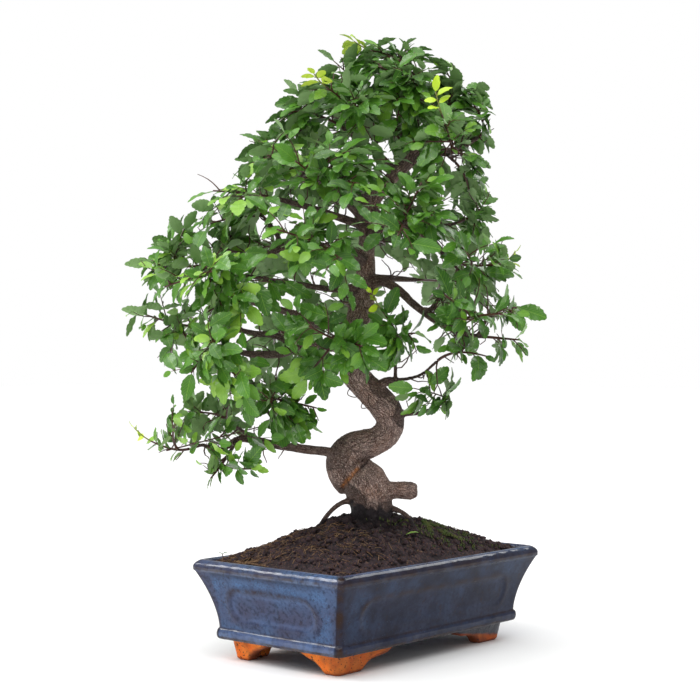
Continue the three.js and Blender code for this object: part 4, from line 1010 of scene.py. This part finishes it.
# painted shade: the crease between the bulb and the trunk is darkened
tone = mixed(tree, times(tree, value_of(tree, "crease"), 0.85), tone, wet_and_shaded_bark)
tone = mixed(tree, value_of(tree, "wet"), tone, wet_and_shaded_bark)
tone = mixed(tree, times(tree, value_of(tree, "scar"), mottled(tree, 300, 0.3, 0.6)), tone, rust)
relief = maths(tree, "ADD", streaks, times(tree, cracked, -0.35))
pimpled = grained(tree, 1000, 0.8)
rough_bark = add_node(tree, "Bump", Height=relief, Strength=1.0, Distance=1.8 * MM, Normal=pimpled)
join_named(tree, shader, {
    "Base Color": tone, "Roughness": spread(tree, value_of(tree, "wet"), 0.85, 0.65),
    "Normal": rough_bark.outputs[0],
})
piece_of("trunk_wood", wood_mesh, bark, ["trunk"])


# The leafy shoots: from the end of each branch a forked stem grows with short side twigs, and each
# stem and twig carries small, toothed, folded leaves, darker and glossier above than below.
# A shoot is listed with the branch that it grows from and where each of its stems ends.
SHOOTS = [
    ["lowLeftDown", [-98, -46, 112], [-70, -46, 118]],
    ["lowLeftUp", [-96, -4, 172], [-70, 16, 174]],
    ["lowLeftInner", [-62, -48, 158], [-34, -30, 154]],
    ["lowLeft", [-136, -34, 134], [-118, -58, 146]],
    ["lowLeftBack", [-118, 16, 150], [-92, 38, 152]],
    ["left", [-108, -64, 176], [-92, -80, 196], [-74, -72, 170]],
    ["leftFork", [-142, -12, 212], [-128, 12, 188], [-106, -36, 190]],
    ["leftBack", [-120, 46, 208], [-92, 80, 220]],
    ["leftBackLow", [-66, 80, 194], [-42, 68, 182]],
    ["leftThin", [-126, -46, 228], [-94, -80, 236], [-74, -70, 216]],
    ["upperLeft", [-136, -16, 244], [-128, 14, 252]],
    ["upperLeftMiddle", [-106, 32, 248], [-90, 16, 264]],
    ["upperLeftUp", [-84, 18, 280], [-102, -4, 270]],
    ["upperLeftBack", [-82, 62, 256], [-60, 84, 246]],
    ["front", [-56, -84, 260], [-18, -94, 242]],
    ["frontRight", [14, -90, 256], [36, -66, 270], [30, -52, 292]],
    ["frontLow", [-38, -80, 204], [-6, -70, 192], [-40, -52, 172]],
    ["frontHigh", [-46, -68, 302], [-8, -72, 288]],
    ["knobUp", [26, -42, 200], [6, -38, 214]],
    ["knobRight", [70, -36, 186], [50, -48, 194]],
    ["bendTwig", [48, -8, 164]],
    ["right", [90, -38, 196], [80, -4, 188]],
    ["rightUp", [80, 14, 230], [60, 26, 210]],
    ["rightEnd", [90, -26, 216]],
    ["rightFront", [76, -80, 211], [42, -76, 222]],
    ["highRight", [78, 38, 216], [84, 18, 244]],
    ["highRightUp", [68, -16, 278]],
    ["highRightBack", [50, 64, 278], [22, 74, 270]],
    ["highRightFront", [78, -46, 242], [54, -72, 248]],
    ["topRight", [64, -12, 344], [62, 8, 328]],
    ["topRightBack", [64, 26, 294], [54, 44, 304]],
    ["topRightFront", [42, -50, 332], [62, -34, 302]],
    ["crownRight", [50, 4, 356]],
    ["crownFront", [24, -38, 358], [4, -24, 366]],
    ["crownBack", [36, 34, 360], [52, 26, 344]],
    ["leader", [0, -2, 380], [22, 10, 382]],
    ["crownRear", [10, 58, 338], [34, 54, 326], [42, 56, 310]],
    ["topLeft", [-52, -10, 340], [-50, 18, 328]],
    ["topLeftBack", [-20, 46, 350], [-36, 50, 328]],
    ["topLeftFront", [-28, -42, 350], [-6, -48, 336]],
    ["topLeftUp", [-22, 0, 360], [-12, 24, 362]],
    ["shoulder", [-74, 8, 312], [-66, -14, 322]],
    ["shoulderBack", [-66, 56, 298], [-40, 66, 310]],
    ["shoulderFront", [-64, -46, 308]],
    ["shoulderLow", [-98, -30, 288], [-80, -58, 280]],
    ["backHigh", [20, 98, 256], [-16, 92, 270]],
    ["backLow", [-40, 90, 220], [-2, 88, 214]],
    ["backTop", [-26, 80, 292], [6, 76, 302]],
    ["backRight", [78, 88, 238], [42, 96, 226]],
]
YOUNG_TIPS = [
    ["leader", 0],
    ["topLeftFront", 0],
    ["topRightFront", 0],
    ["highRight", 1],
    ["lowLeft", 0],
    ["knobUp", 1],
]
LEAF_LENGTH, LEAF_SPREAD, LEAF_WIDTH, LEAF_SHEET = 14, 9, 0.5, 0.17
STALK_SHARE, STALK_WIDTH, TOOTH_OUT, TOOTH_IN, TOOTH_LEAN = 0.06, 0.045, 1.045, 0.945, 0.03
STEM_RADIUS, STEM_TIP_RADIUS, TWIG_RADIUS = 0.95, 0.5, 0.36
STEM_LEAVES, FIRST_LEAF, NEXT_LEAF, LAST_LEAF, STEM_BEND, STEM_PARTS = 5, 0.3, 0.175, 0.97, 0.4, 60
TWIG_LEAVES, TWIG_START, NEXT_TWIG, TWIG_LENGTH, TWIG_SPREAD, TWIG_BOW = 5, 0.14, 0.15, 15, 13, 0.12
SPARSE_TWIGS, SPARSE_LEAF, FILLING_LEAF, TWIG_LEAF_LEAST, TWIG_LEAF_MORE = (0, 2, 4), 0.75, 0.9, 0.42, 0.53
# How a leaf stands: along its stem, out from it and hanging, and how far it turns and shrinks
LEAF_ALONG, LEAF_OUT, HANG_LEAST, HANG_MORE, FACE_SCATTER, TIP_SWING = 0.55, 0.85, 0.05, 0.35, 1.4, 0.6
TIP_LEAF, SHRINKS, EDGE_LEAF, SUN_START, SUN_REACH, SUN_SHARE = 0.9, (1, 0.8, 0.62), 0.48, 10, 100, 0.2
FIT_GAP, FORK_ROOT, FILLING_PLACE = 0.35, 1.4, 0.45
BARE_REACH, BARE_SPREAD, BARE_BENDS, BARE_TWIGS, BARE_ON_SPARSE = 10, 18, 5, 7, 10
CROWN_HEART = ACROSS * -18 + Vector((0, 0, 225))
low_corner, high_corner = np.array(cad_low) / MM + 0.4, np.array(cad_high) / MM - 0.4
# What the draws of each stem, fork, leaf and twig start from, so that no two are alike
SEED, STEM_SEED_STEP, FORK_SEED_STEP = 20, 97, 50000
LEAF_SEED, LEAF_SEED_STEP, YOUNG_SEED_STEP = 9001, 37, 611
TWIG_SEED_STEP, TWIG_LEAF_SEED_STEP, BARE_SEED = 7, 1009, 4409
DRAW_FACTOR, DRAW_RANGE = 16807, 2147483647
# Shoots on the right and lowest left that have few and small leaves on thin twigs
SPARSE = {
    "right", "rightUp", "rightEnd", "rightFront", "knobRight", "bendTwig", "knobUp", "lowLeft",
    "lowLeftDown",
}
# How far the clipped crown reaches at each height, seen from its front: up, left and right
CROWN_EDGE = [
    [112, -92, -80], [122, -112, -52], [134, -150, 20], [150, -133, 47], [166, -118, 50],
    [182, -130, 88], [198, -143, 104], [214, -160, 104], [230, -140, 86], [246, -146, 94],
    [262, -136, 76], [278, -118, 74], [294, -92, 76], [309, -81, 74], [325, -82, 75],
    [341, -66, 75], [357, -54, 72], [373, -40, 46], [390, -30, 16],
]
# Openings that light falls through, seen from the front: across, up, radius
OPENINGS = [
    [26, 230, 11], [27, 181, 8], [-22, 150, 14], [-24, 165, 8], [44, 182, 7], [-28, 226, 5],
    [-32, 133, 9], [-46, 128, 6], [57, 183, 7], [-112, 178, 8], [90, 228, 10], [74, 199, 8],
    [74, 182, 8], [66, 246, 6], [-140, 190, 8], [-125, 190, 6], [-133, 145, 8], [-101, 293, 8],
    [-22, 373, 7], [50, 309, 8], [42, 166, 6], [-38, 158, 8],
]
# Shoots that fill the crown's front and top: the shoot that each one forks from, and its tip
FILLING = {
    "crownFront": [[12, -30, 343], [24, -26, 335], [30, -22, 326], [14, -30, 326]],
    "crownRear": [[22, 22, 336], [34, 20, 330]],
    "topLeftUp": [[2, -8, 346], [-24, 2, 374]],
    "topLeft": [[-46, 0, 352]],
    "topLeftFront": [[0, -40, 318]],
    "crownRight": [[68, 0, 352], [44, 6, 374]],
    "frontHigh": [[-8, -56, 312], [10, -44, 306]],
    "front": [[-36, -62, 262], [-42, -50, 246]],
    "upperLeft": [[-118, -10, 266]],
    "leftThin": [[-60, -66, 230], [-52, -50, 232]],
    "highRightUp": [[66, 0, 262]],
    "topRightFront": [[24, -36, 318], [32, -34, 300], [38, -26, 326]],
    "frontRight": [[10, -34, 298]],
    "rightUp": [[46, -10, 204]],
    "rightFront": [[44, -34, 198]],
    "knobUp": [[12, -28, 188]],
    "bendTwig": [[26, -20, 166]],
    "lowLeft": [[-66, -24, 143]],
    "lowLeftInner": [[-42, -30, 150], [-48, -24, 138]],
}


def draws(seed):
    """Even draws between 0 and 1 that are the same each time for the same seed."""
    state = seed * DRAW_FACTOR**2 % DRAW_RANGE
    while True:
        state = state * DRAW_FACTOR % DRAW_RANGE
        yield state / DRAW_RANGE


def scattered(vector, draw, amount):
    x, y, z = next(draw) - 0.5, next(draw) - 0.5, next(draw) - 0.5
    return (vector + across_away_up((x, y, z)) * amount).normalized()


def outwards_at(place):
    """The way a leaf's upper face looks: out of the crown and up."""
    return ((place - CROWN_HEART).normalized() + Vector((0, 0, 0.6))).normalized()


def side_of(leaf, number):
    """Leaves stand left and right of their stem by turns, and the last one ends it."""
    return 0 if leaf == number - 1 else 1 if leaf % 2 else -1


def leaf_at(place, along, side, seed, scale):
    """The way a leaf points, the way its upper face looks, and its length."""
    draw = draws(seed)
    face = scattered(outwards_at(place), draw, FACE_SCATTER)
    sideways = along.cross(face).normalized()
    if side:
        axis = along * LEAF_ALONG + sideways * LEAF_OUT * side
    else:
        axis = along + sideways * TIP_SWING * (next(draw) - 0.5)
    axis.z -= HANG_LEAST + HANG_MORE * next(draw)
    axis.normalize()
    face = (face - axis * face.dot(axis)).normalized()
    length = (LEAF_LENGTH + LEAF_SPREAD * next(draw)) * (1 if side else TIP_LEAF) * scale
    return axis, face, length


class LeafForm:
    """The upper and lower sheet of a leaf that is one long: x along it, y across, and their lift."""

    def __init__(self, rows):
        points, blade, faces = [], [], []
        for cuts, lift, under in (((-1, -0.5, 0, 0.5, 1), 1, 0), ((-1, 0, 1), -1, 1)):
            first = len(points)
            for row in range(rows):
                toothed = row % 2
                x, width = STALK_SHARE * row, STALK_WIDTH
                if row > 1:
                    share = (row - 1) / (rows - 2)
                    x = STALK_SHARE + (1 - STALK_SHARE) * share
                    oval = max(math.sin(math.pi * share**0.92), 0) ** 0.72
                    width = oval * (TOOTH_OUT if toothed else TOOTH_IN)
                for y in cuts:
                    tooth_tip = TOOTH_LEAN if abs(y) == 1 and toothed else 0
                    points.append((min(x + tooth_tip, 1), y * width, lift * (1 - abs(y))))
                    blade.append((x, y * width, under))
            for row in range(rows - 1):
                for k in range(len(cuts) - 1):
                    a = first + row * len(cuts) + k
                    b = a + len(cuts)
                    faces.append((a + 1, a, b, b + 1) if lift > 0 else (a, a + 1, b + 1, b))
        under_rib = 5 * rows + 1
        faces += [(0, 1, 2, under_rib), (under_rib, 2, 3, 4)]
        self.points, self.blade, self.faces = np.array(points), np.array(blade), faces


LARGE_LEAF, SMALL_LEAF, SMALL_LENGTH = LeafForm(15), LeafForm(9), 12.5


def form_for(length):
    return SMALL_LEAF if length < SMALL_LENGTH else LARGE_LEAF


def leaf_points(place, axis, face, length, seed):
    """The points of one leaf, folded along its midrib, drooping and a little curled."""
    draw = draws(seed + 5)
    fold, droop = 0.08 + 0.22 * next(draw), 0.1 + 0.3 * next(draw)
    curl, wave = 0.3 * (next(draw) - 0.5), 0.012 + 0.02 * next(draw)
    x, y, sheet = form_for(length).points.T
    y = y * LEAF_WIDTH / 2
    lift = fold * np.abs(y) - droop * np.maximum(x - 0.35, 0) ** 2 + curl * y * x
    lift = lift + wave * np.sin(x * 19) * np.abs(y) * 4
    lifted = lift * length + sheet * LEAF_SHEET
    across = face.cross(axis)
    return place[:] + np.outer(x * length, axis) + np.outer(y * length, across) + np.outer(lifted, face)


class Stem:
    """A bent stem, and the seats of the leaves that stand along it."""

    def __init__(self, start, heading, tip, seed, scale=1.0):
        self.seed = seed
        self.reach = (tip - start).length
        self.start, self.bend, self.tip = start, start + heading * STEM_BEND * self.reach, tip
        fine = [self.bent(i / STEM_PARTS) for i in range(STEM_PARTS + 1)]
        steps = [(b - a).length for a, b in zip(fine, fine[1:])]
        self.lengths = np.concatenate([[0], np.cumsum(steps)])
        self.seats = []
        for j in range(STEM_LEAVES):
            share, side = min(FIRST_LEAF + NEXT_LEAF * j, LAST_LEAF), side_of(j, STEM_LEAVES)
            leaf_seed = seed + LEAF_SEED + LEAF_SEED_STEP * j
            self.seats.append((self.at(share), self.heading_at(share), side, leaf_seed, scale))

    def bent(self, t):
        return self.start * (1 - t) ** 2 + self.bend * (2 * t * (1 - t)) + self.tip * t**2

    def at(self, share):
        """The place at a share of the stem's length."""
        shares = np.linspace(0, 1, STEM_PARTS + 1)
        return self.bent(float(np.interp(share * self.lengths[-1], self.lengths, shares)))

    def heading_at(self, share, step=0.01):
        return (self.at(min(share + step, 1)) - self.at(share - step)).normalized()


def branch_points(name):
    return LEADER if name == "leader" else BRANCHES[name]


def branch_end(name):
    """Where a branch ends, with a gap for fit, and the way it points there."""
    points = branch_points(name)
    places, sizes = winding(points)
    heading = (across_away_up(points[-1]) - across_away_up(points[-2])).normalized()
    heading = ((places[-1] - places[-2]).normalized() * 0.5 + heading * 0.5).normalized()
    return places[-1] + heading * FIT_GAP, heading


def within_crown(spot):
    """Whether a leaf there belongs to the clipped crown and leaves its openings free."""
    across, up = spot.dot(ACROSS), spot.z
    heights, lefts, rights = zip(*CROWN_EDGE)
    if not heights[0] < up < heights[-1]:
        return False
    if not np.interp(up, heights, lefts) < across < np.interp(up, heights, rights):
        return False
    return all(math.hypot(across - u, up - z) > radius for u, z, radius in OPENINGS)


class Growth(Gathered):
    """A leafy piece, with what its colours need: each leaf's tone, what is wood, and the place on
    the blade."""

    def __init__(self):
        super().__init__("tone", "woody", "blade")

    def twig(self, places, sizes, sides):
        points, faces = tube(places, sizes, sides)
        points = np.clip([p[:] for p in points], low_corner, high_corner)
        self.add(points, faces, tone=0.5, woody=1.0, blade=np.zeros((len(points), 3)))

    def stem(self, at, start_radius, end_radius, steps, sides=6):
        shares = [i / steps for i in range(steps + 1)]
        radii = [start_radius + (end_radius - start_radius) * t for t in shares]
        self.twig([at(t) for t in shares], radii, sides)

    def blade(self, points, form, tone):
        self.add(points, form.faces, tone=tone, woody=0.0, blade=form.blade)

    def leaf(self, place, along, side, seed, scale, carried=False):
        """Adds a leaf, smaller where it would pass the plant's edge. One that stands outside the
        clipped crown is left off, or kept small where its stem's outline needs it."""
        for shrink in SHRINKS:
            axis, face, length = leaf_at(place, along, side, seed, scale * shrink)
            if not within_crown(place + axis * length * 0.5):
                if not carried:
                    return
                axis, face, length = leaf_at(place, along, side, seed, scale * shrink * EDGE_LEAF)
            points = leaf_points(place, axis, face, length, seed)
            if (points > low_corner).all() and (points < high_corner).all():
                # painted light: leaves towards the crown's left are given lighter tones
                sunny = min(max((-place.dot(ACROSS) - SUN_START) / SUN_REACH, 0), 1)
                tone = (1 - SUN_SHARE) * next(draws(seed + 3)) + SUN_SHARE * sunny
                self.blade(points, form_for(length), tone)
                return

    def side_twigs(self, stem, leaf_size, twigs):
        """Adds short twigs with leaves to both sides of a stem."""
        for i in twigs:
            seed = stem.seed + TWIG_SEED_STEP * i
            draw = draws(seed)
            share = TWIG_START + NEXT_TWIG * i
            place, along = stem.at(share), stem.heading_at(share)
            side = along.cross(scattered(outwards_at(place), draw, 1.6)).normalized()
            way = along * LEAF_ALONG + side * (LEAF_OUT if i % 2 else -LEAF_OUT)
            way = (way + Vector((0, 0, 0.3 * next(draw)))).normalized()
            length = (TWIG_LENGTH + TWIG_SPREAD * next(draw)) * min(1, stem.reach / 50)
            bow = side.cross(way) * length * TWIG_BOW

            def at(t):
                return place + way * length * t + bow * math.sin(math.pi * t)

            self.stem(at, TWIG_RADIUS * 1.3, TWIG_RADIUS * 0.6, 5, 4)
            for j in range(TWIG_LEAVES):
                leaf_seed = seed + TWIG_LEAF_SEED_STEP * (j + 1)
                grown = leaf_size * (TWIG_LEAF_LEAST + TWIG_LEAF_MORE * next(draws(leaf_seed + 1)))
                self.leaf(at((j + 1) / TWIG_LEAVES), way, side_of(j, TWIG_LEAVES), leaf_seed, grown)

    def bare_twigs(self, places, seed, number):
        """Adds thin kinked twigs that have lost their leaves, from places on a branch and its stem."""
        draw = draws(seed)
        for twig in range(number):
            spot = places[int(next(draw) * len(places))]
            way = scattered(outwards_at(spot), draw, 2.4)
            reach = BARE_REACH + BARE_SPREAD * next(draw)
            bends = [spot]
            for bend in range(BARE_BENDS):
                way = scattered(way, draw, 1.1)
                bends.append(bends[-1] + way * reach / BARE_BENDS)
            if within_crown(bends[-1]):
                sizes = [TWIG_RADIUS * (1.5 - 0.8 * i / BARE_BENDS) for i in range(BARE_BENDS + 1)]
                self.twig(bends, sizes, 4)


def leaf_material(name, dark, mid, light, under, stalk):
    """Leaf looks: each leaf has its own tone, a pale midrib with side veins, and a paler underside."""
    material, tree, shader = new_material(name)
    parts = add_node(tree, "SeparateXYZ", Vector=place_of(tree, "blade")).outputs
    sideways = maths(tree, "ABSOLUTE", parts["Y"])
    midrib = spread(tree, sideways, 1.0, 0.0, 0.012, 0.05)
    slanted = maths(tree, "SUBTRACT", parts["X"], times(tree, sideways, 0.3))
    from_vein = maths(tree, "PINGPONG", times(tree, slanted, 9.0), 0.5)
    side_vein = spread(tree, from_vein, 1.0, 0.0, 0.0, 0.13)
    tone = value_of(tree, "tone")
    green = mixed(tree, maths(tree, "MULTIPLY", tone, 1.7, clamp=True), dark, mid)
    green = mixed(tree, spread(tree, tone, 0.0, 1.0, 0.66, 1.0), green, light)
    green = blotched(tree, green, mid, 0.3, 260, 0.4, 0.7)
    green = mixed(tree, times(tree, side_vein, 0.22), green, light)
    green = mixed(tree, times(tree, midrib, 0.35), green, light)
    green = mixed(tree, times(tree, parts["Z"], 0.75), green, under)
    green = mixed(tree, value_of(tree, "woody"), green, stalk)
    veins = maths(tree, "ADD", times(tree, midrib, -0.8), times(tree, side_vein, -0.4))
    sunk = add_node(tree, "Bump", Height=veins, Strength=0.3, Distance=0.25 * MM)
    join_named(tree, shader, {
        "Base Color": green, "Roughness": spread(tree, parts["Z"], 0.28, 0.6),
        "Normal": sunk.outputs[0], "Specular IOR Level": 0.4,
    })
    return material


leaf_green = leaf_material(
    "elm_leaf", dark=colour(0.02, 0.08, 0.01), mid=colour(0.085, 0.245, 0.024),
    light=colour(0.34, 0.6, 0.065), under=colour(0.27, 0.42, 0.18), stalk=colour(0.075, 0.028, 0.02))
young_stems = {(branch, fork): i for i, (branch, fork) in enumerate(YOUNG_TIPS)}
young_seats = {}
for index, (branch, *tips) in enumerate(SHOOTS):
    start, heading = branch_end(branch)
    sparse = branch in SPARSE
    shoot_seed = SEED + STEM_SEED_STEP * (index + 1)
    growth = Growth()
    for fork, tip in enumerate(tips):
        end = across_away_up(tip)
        seed = shoot_seed + FORK_SEED_STEP * fork
        if fork:
            along = (main.at(0.34) - main.at(0.327)).normalized()
            root = main.at(1 / 3) - along * FORK_ROOT
            turned = ((end - root).normalized() + along * 0.5).normalized()
            stem = Stem(root, turned, end, seed)
        else:
            main = stem = Stem(start, heading, end, seed)
        growth.stem(stem.at, STEM_RADIUS, STEM_TIP_RADIUS, 12)
        growth.side_twigs(stem, SPARSE_LEAF if sparse else 1, SPARSE_TWIGS if sparse else range(6))
        if (branch, fork) in young_stems:
            stem.seats.pop()
            young_seats[young_stems[branch, fork]] = stem
        for seat in stem.seats:
            growth.leaf(*seat, carried=True)
    for fill, tip in enumerate(FILLING.get(branch, [])):
        root = main.at(FILLING_PLACE) - heading * 0.4
        stem = Stem(root, heading, across_away_up(tip), shoot_seed + FORK_SEED_STEP * (len(tips) + fill))
        growth.stem(stem.at, STEM_TIP_RADIUS, TWIG_RADIUS, 10)
        growth.side_twigs(stem, FILLING_LEAF, range(5))
        for seat in stem.seats:
            growth.leaf(*seat)
    bough = winding(branch_points(branch))[0]
    carriers = bough[len(bough) // 3:] + [main.at(i / 12) for i in range(12)]
    growth.bare_twigs(carriers, BARE_SEED + index, BARE_ON_SPARSE if sparse else BARE_TWIGS)
    name = f"shoot_{index + 1:02d}"
    piece_of(name, growth.mesh(name), leaf_green, [f"leafy_{name}"])


# The small strays: thin curled rootlets that hang from the trunk's bend, a leaf that has fallen on the
# soil, and a seedling that has come up at the left end of the pot.
ROOTLETS = [
    [[0, -8, 166], [-2, -12, 159], [0, -13, 154], [5, -11, 152]],
    [[-2, -9, 168], [4, -12, 162], [12, -10, 157], [20, -9, 152], [27, -8, 151]],
    [[-6, -10, 170], [-13, -8, 166], [-15, -7, 162], [-11, -7, 160], [-6, -6, 161]],
    [[0, -6, 159], [-5, -7, 157], [-6, -6, 153], [1, -6, 154]],
    [[12, -7, 148], [18, -9, 147], [23, -10, 152], [22, -10, 158]],
]
ROOTLET_RADIUS, SPROUT_RADIUS, SPROUT_HEIGHT, SPROUT_PARTS = 0.32, 0.3, 5.5, 5
FALLEN_LENGTH, SEED_LEAF_LENGTH = 8, 3.4
rootlets = Gathered()
for spots in ROOTLETS:
    places, sizes = winding([[*spot, ROOTLET_RADIUS] for spot in spots], 5)
    rootlets.add(*tube(places, sizes, 5))
piece_of("trunk_rootlets", rootlets.mesh("trunk_rootlets"), bark)

strays = Growth()
UP = Vector((0, 0, 1))
fallen = ACROSS * 21 - AWAY * 28
fallen.z = float(soil_surface(fallen.x, fallen.y)) + 1.6
fallen_axis, fallen_face = (ACROSS * 0.95 + UP * 0.28).normalized(), Vector((-0.2, 0.1, 1)).normalized()
strays.blade(leaf_points(fallen, fallen_axis, fallen_face, FALLEN_LENGTH, 5), SMALL_LEAF, 0.95)
seedling = Vector((-SOIL_HALF[0] + 3, 42, 0))
seedling.z = float(soil_height(seedling.x, seedling.y))
sprout = [
    seedling + UP * SPROUT_HEIGHT * i / SPROUT_PARTS + ACROSS * 0.5 * math.sin(i)
    for i in range(SPROUT_PARTS + 1)
]
strays.twig(sprout, [SPROUT_RADIUS] * len(sprout), 5)
for side in (-1, 1):
    axis, face = (ACROSS * side + UP * 0.5).normalized(), UP - ACROSS * side * 0.5
    strays.blade(leaf_points(sprout[-1], axis, face, SEED_LEAF_LENGTH, 7 + side), SMALL_LEAF, 0.4)
piece_of("fallen_leaf_and_seedling", strays.mesh("fallen_leaf_and_seedling"), leaf_green)


# The young tips: this month's growth at the ends of six stems, short, soft and lime green. Each sits
# where the last old leaf of its stem was.
YOUNG_REACH, YOUNG_RISE, YOUNG_SCALES = 11, 3, (0.85, 0.62, 0.55, 0.7, 0.7, 0.4)
lime = leaf_material(
    "young_leaf", dark=colour(0.36, 0.58, 0.02), mid=colour(0.52, 0.74, 0.03),
    light=colour(0.7, 0.88, 0.08), under=colour(0.6, 0.75, 0.1), stalk=colour(0.2, 0.2, 0.05))
for i, older in sorted(young_seats.items()):
    heading = (older.at(1) - older.at(0.985)).normalized()
    start = older.at(1) + heading * FIT_GAP
    tip = start + heading * YOUNG_REACH + UP * YOUNG_RISE
    stem = Stem(start, heading, tip, SEED + YOUNG_SEED_STEP * (i + 1), YOUNG_SCALES[i])
    growth = Growth()
    growth.stem(stem.at, STEM_TIP_RADIUS, TWIG_RADIUS, 5)
    for seat in stem.seats:
        growth.leaf(*seat, carried=True)
    name = f"young_growth_{i + 1}"
    piece_of(name, growth.mesh(name), lime, [f"young_tip_{i + 1}"])


# The studio: a plain white floor under daylight and broad soft lights from above, left and right, and
# an even white surround.
FLOOR_REACH, SURROUND_LIGHT, DAYLIGHT_POWER, DAYLIGHT_BREADTH = 6.0, 0.46, 2.35, 1.5
SOFT_LIGHTS = {
    "top_light": {"place": (-0.1, -0.4, 1.3), "width": 0.5, "power": 2.5},
    "left_light": {"place": (-1.0, 0.1, 0.95), "width": 0.55, "power": 6},
    "right_light": {"place": (0.75, 0.65, 1.0), "width": 0.45, "power": 3},
}
white, off_white = colour(0.93, 0.93, 0.93), colour(0.95, 0.95, 0.95)
paper, tree, shader = new_material("white_floor")
join_named(tree, shader, {
    "Base Color": blotched(tree, white, off_white, 1.0, 6, 0.3, 0.7), "Roughness": 0.9
})
floor_mesh = bpy.data.meshes.new("floor")
floor_corners = [(FLOOR_REACH * x, FLOOR_REACH * y, 0) for x, y in ((-1, -1), (1, -1), (1, 1), (-1, 1))]
floor_mesh.from_pydata(floor_corners, [], [(0, 1, 2, 3)])
floor_mesh.materials.append(paper)
floor = bpy.data.objects.new("floor", floor_mesh)
bpy.context.scene.collection.objects.link(floor)
floor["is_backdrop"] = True

surround = bpy.data.worlds.new("surround")
surround.use_nodes = True
sky = surround.node_tree
seen = add_node(sky, "LightPath").outputs["Is Camera Ray"]
sky.links.new(spread(sky, seen, SURROUND_LIGHT, 1.0), sky.nodes["Background"].inputs[1])
sky.nodes["Background"].inputs[0].default_value = colour(1, 1, 1)
bpy.context.scene.world = surround


def aimed_light(name, kind, power, way):
    """A light that shines one way."""
    made = bpy.data.objects.new(name, bpy.data.lights.new(name, kind))
    made.data.energy = power
    made.rotation_mode = "QUATERNION"
    made.rotation_quaternion = way.to_track_quat("-Z", "Y")
    bpy.context.scene.collection.objects.link(made)
    return made


daylight = aimed_light("daylight", "SUN", DAYLIGHT_POWER, across_away_up((0.15, 0.3, -1)))
daylight.data.angle = DAYLIGHT_BREADTH
TREE_MIDDLE = Vector((0, 0, 0.2))
for name, light in SOFT_LIGHTS.items():
    stand = across_away_up(light["place"])
    made = aimed_light(name, "AREA", light["power"], TREE_MIDDLE - stand)
    made.data.size = light["width"]
    made.location = stand

dressed_low, dressed_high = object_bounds()
sizes = {"cad": [list(cad_low), list(cad_high)], "scene": [list(dressed_low), list(dressed_high)]}
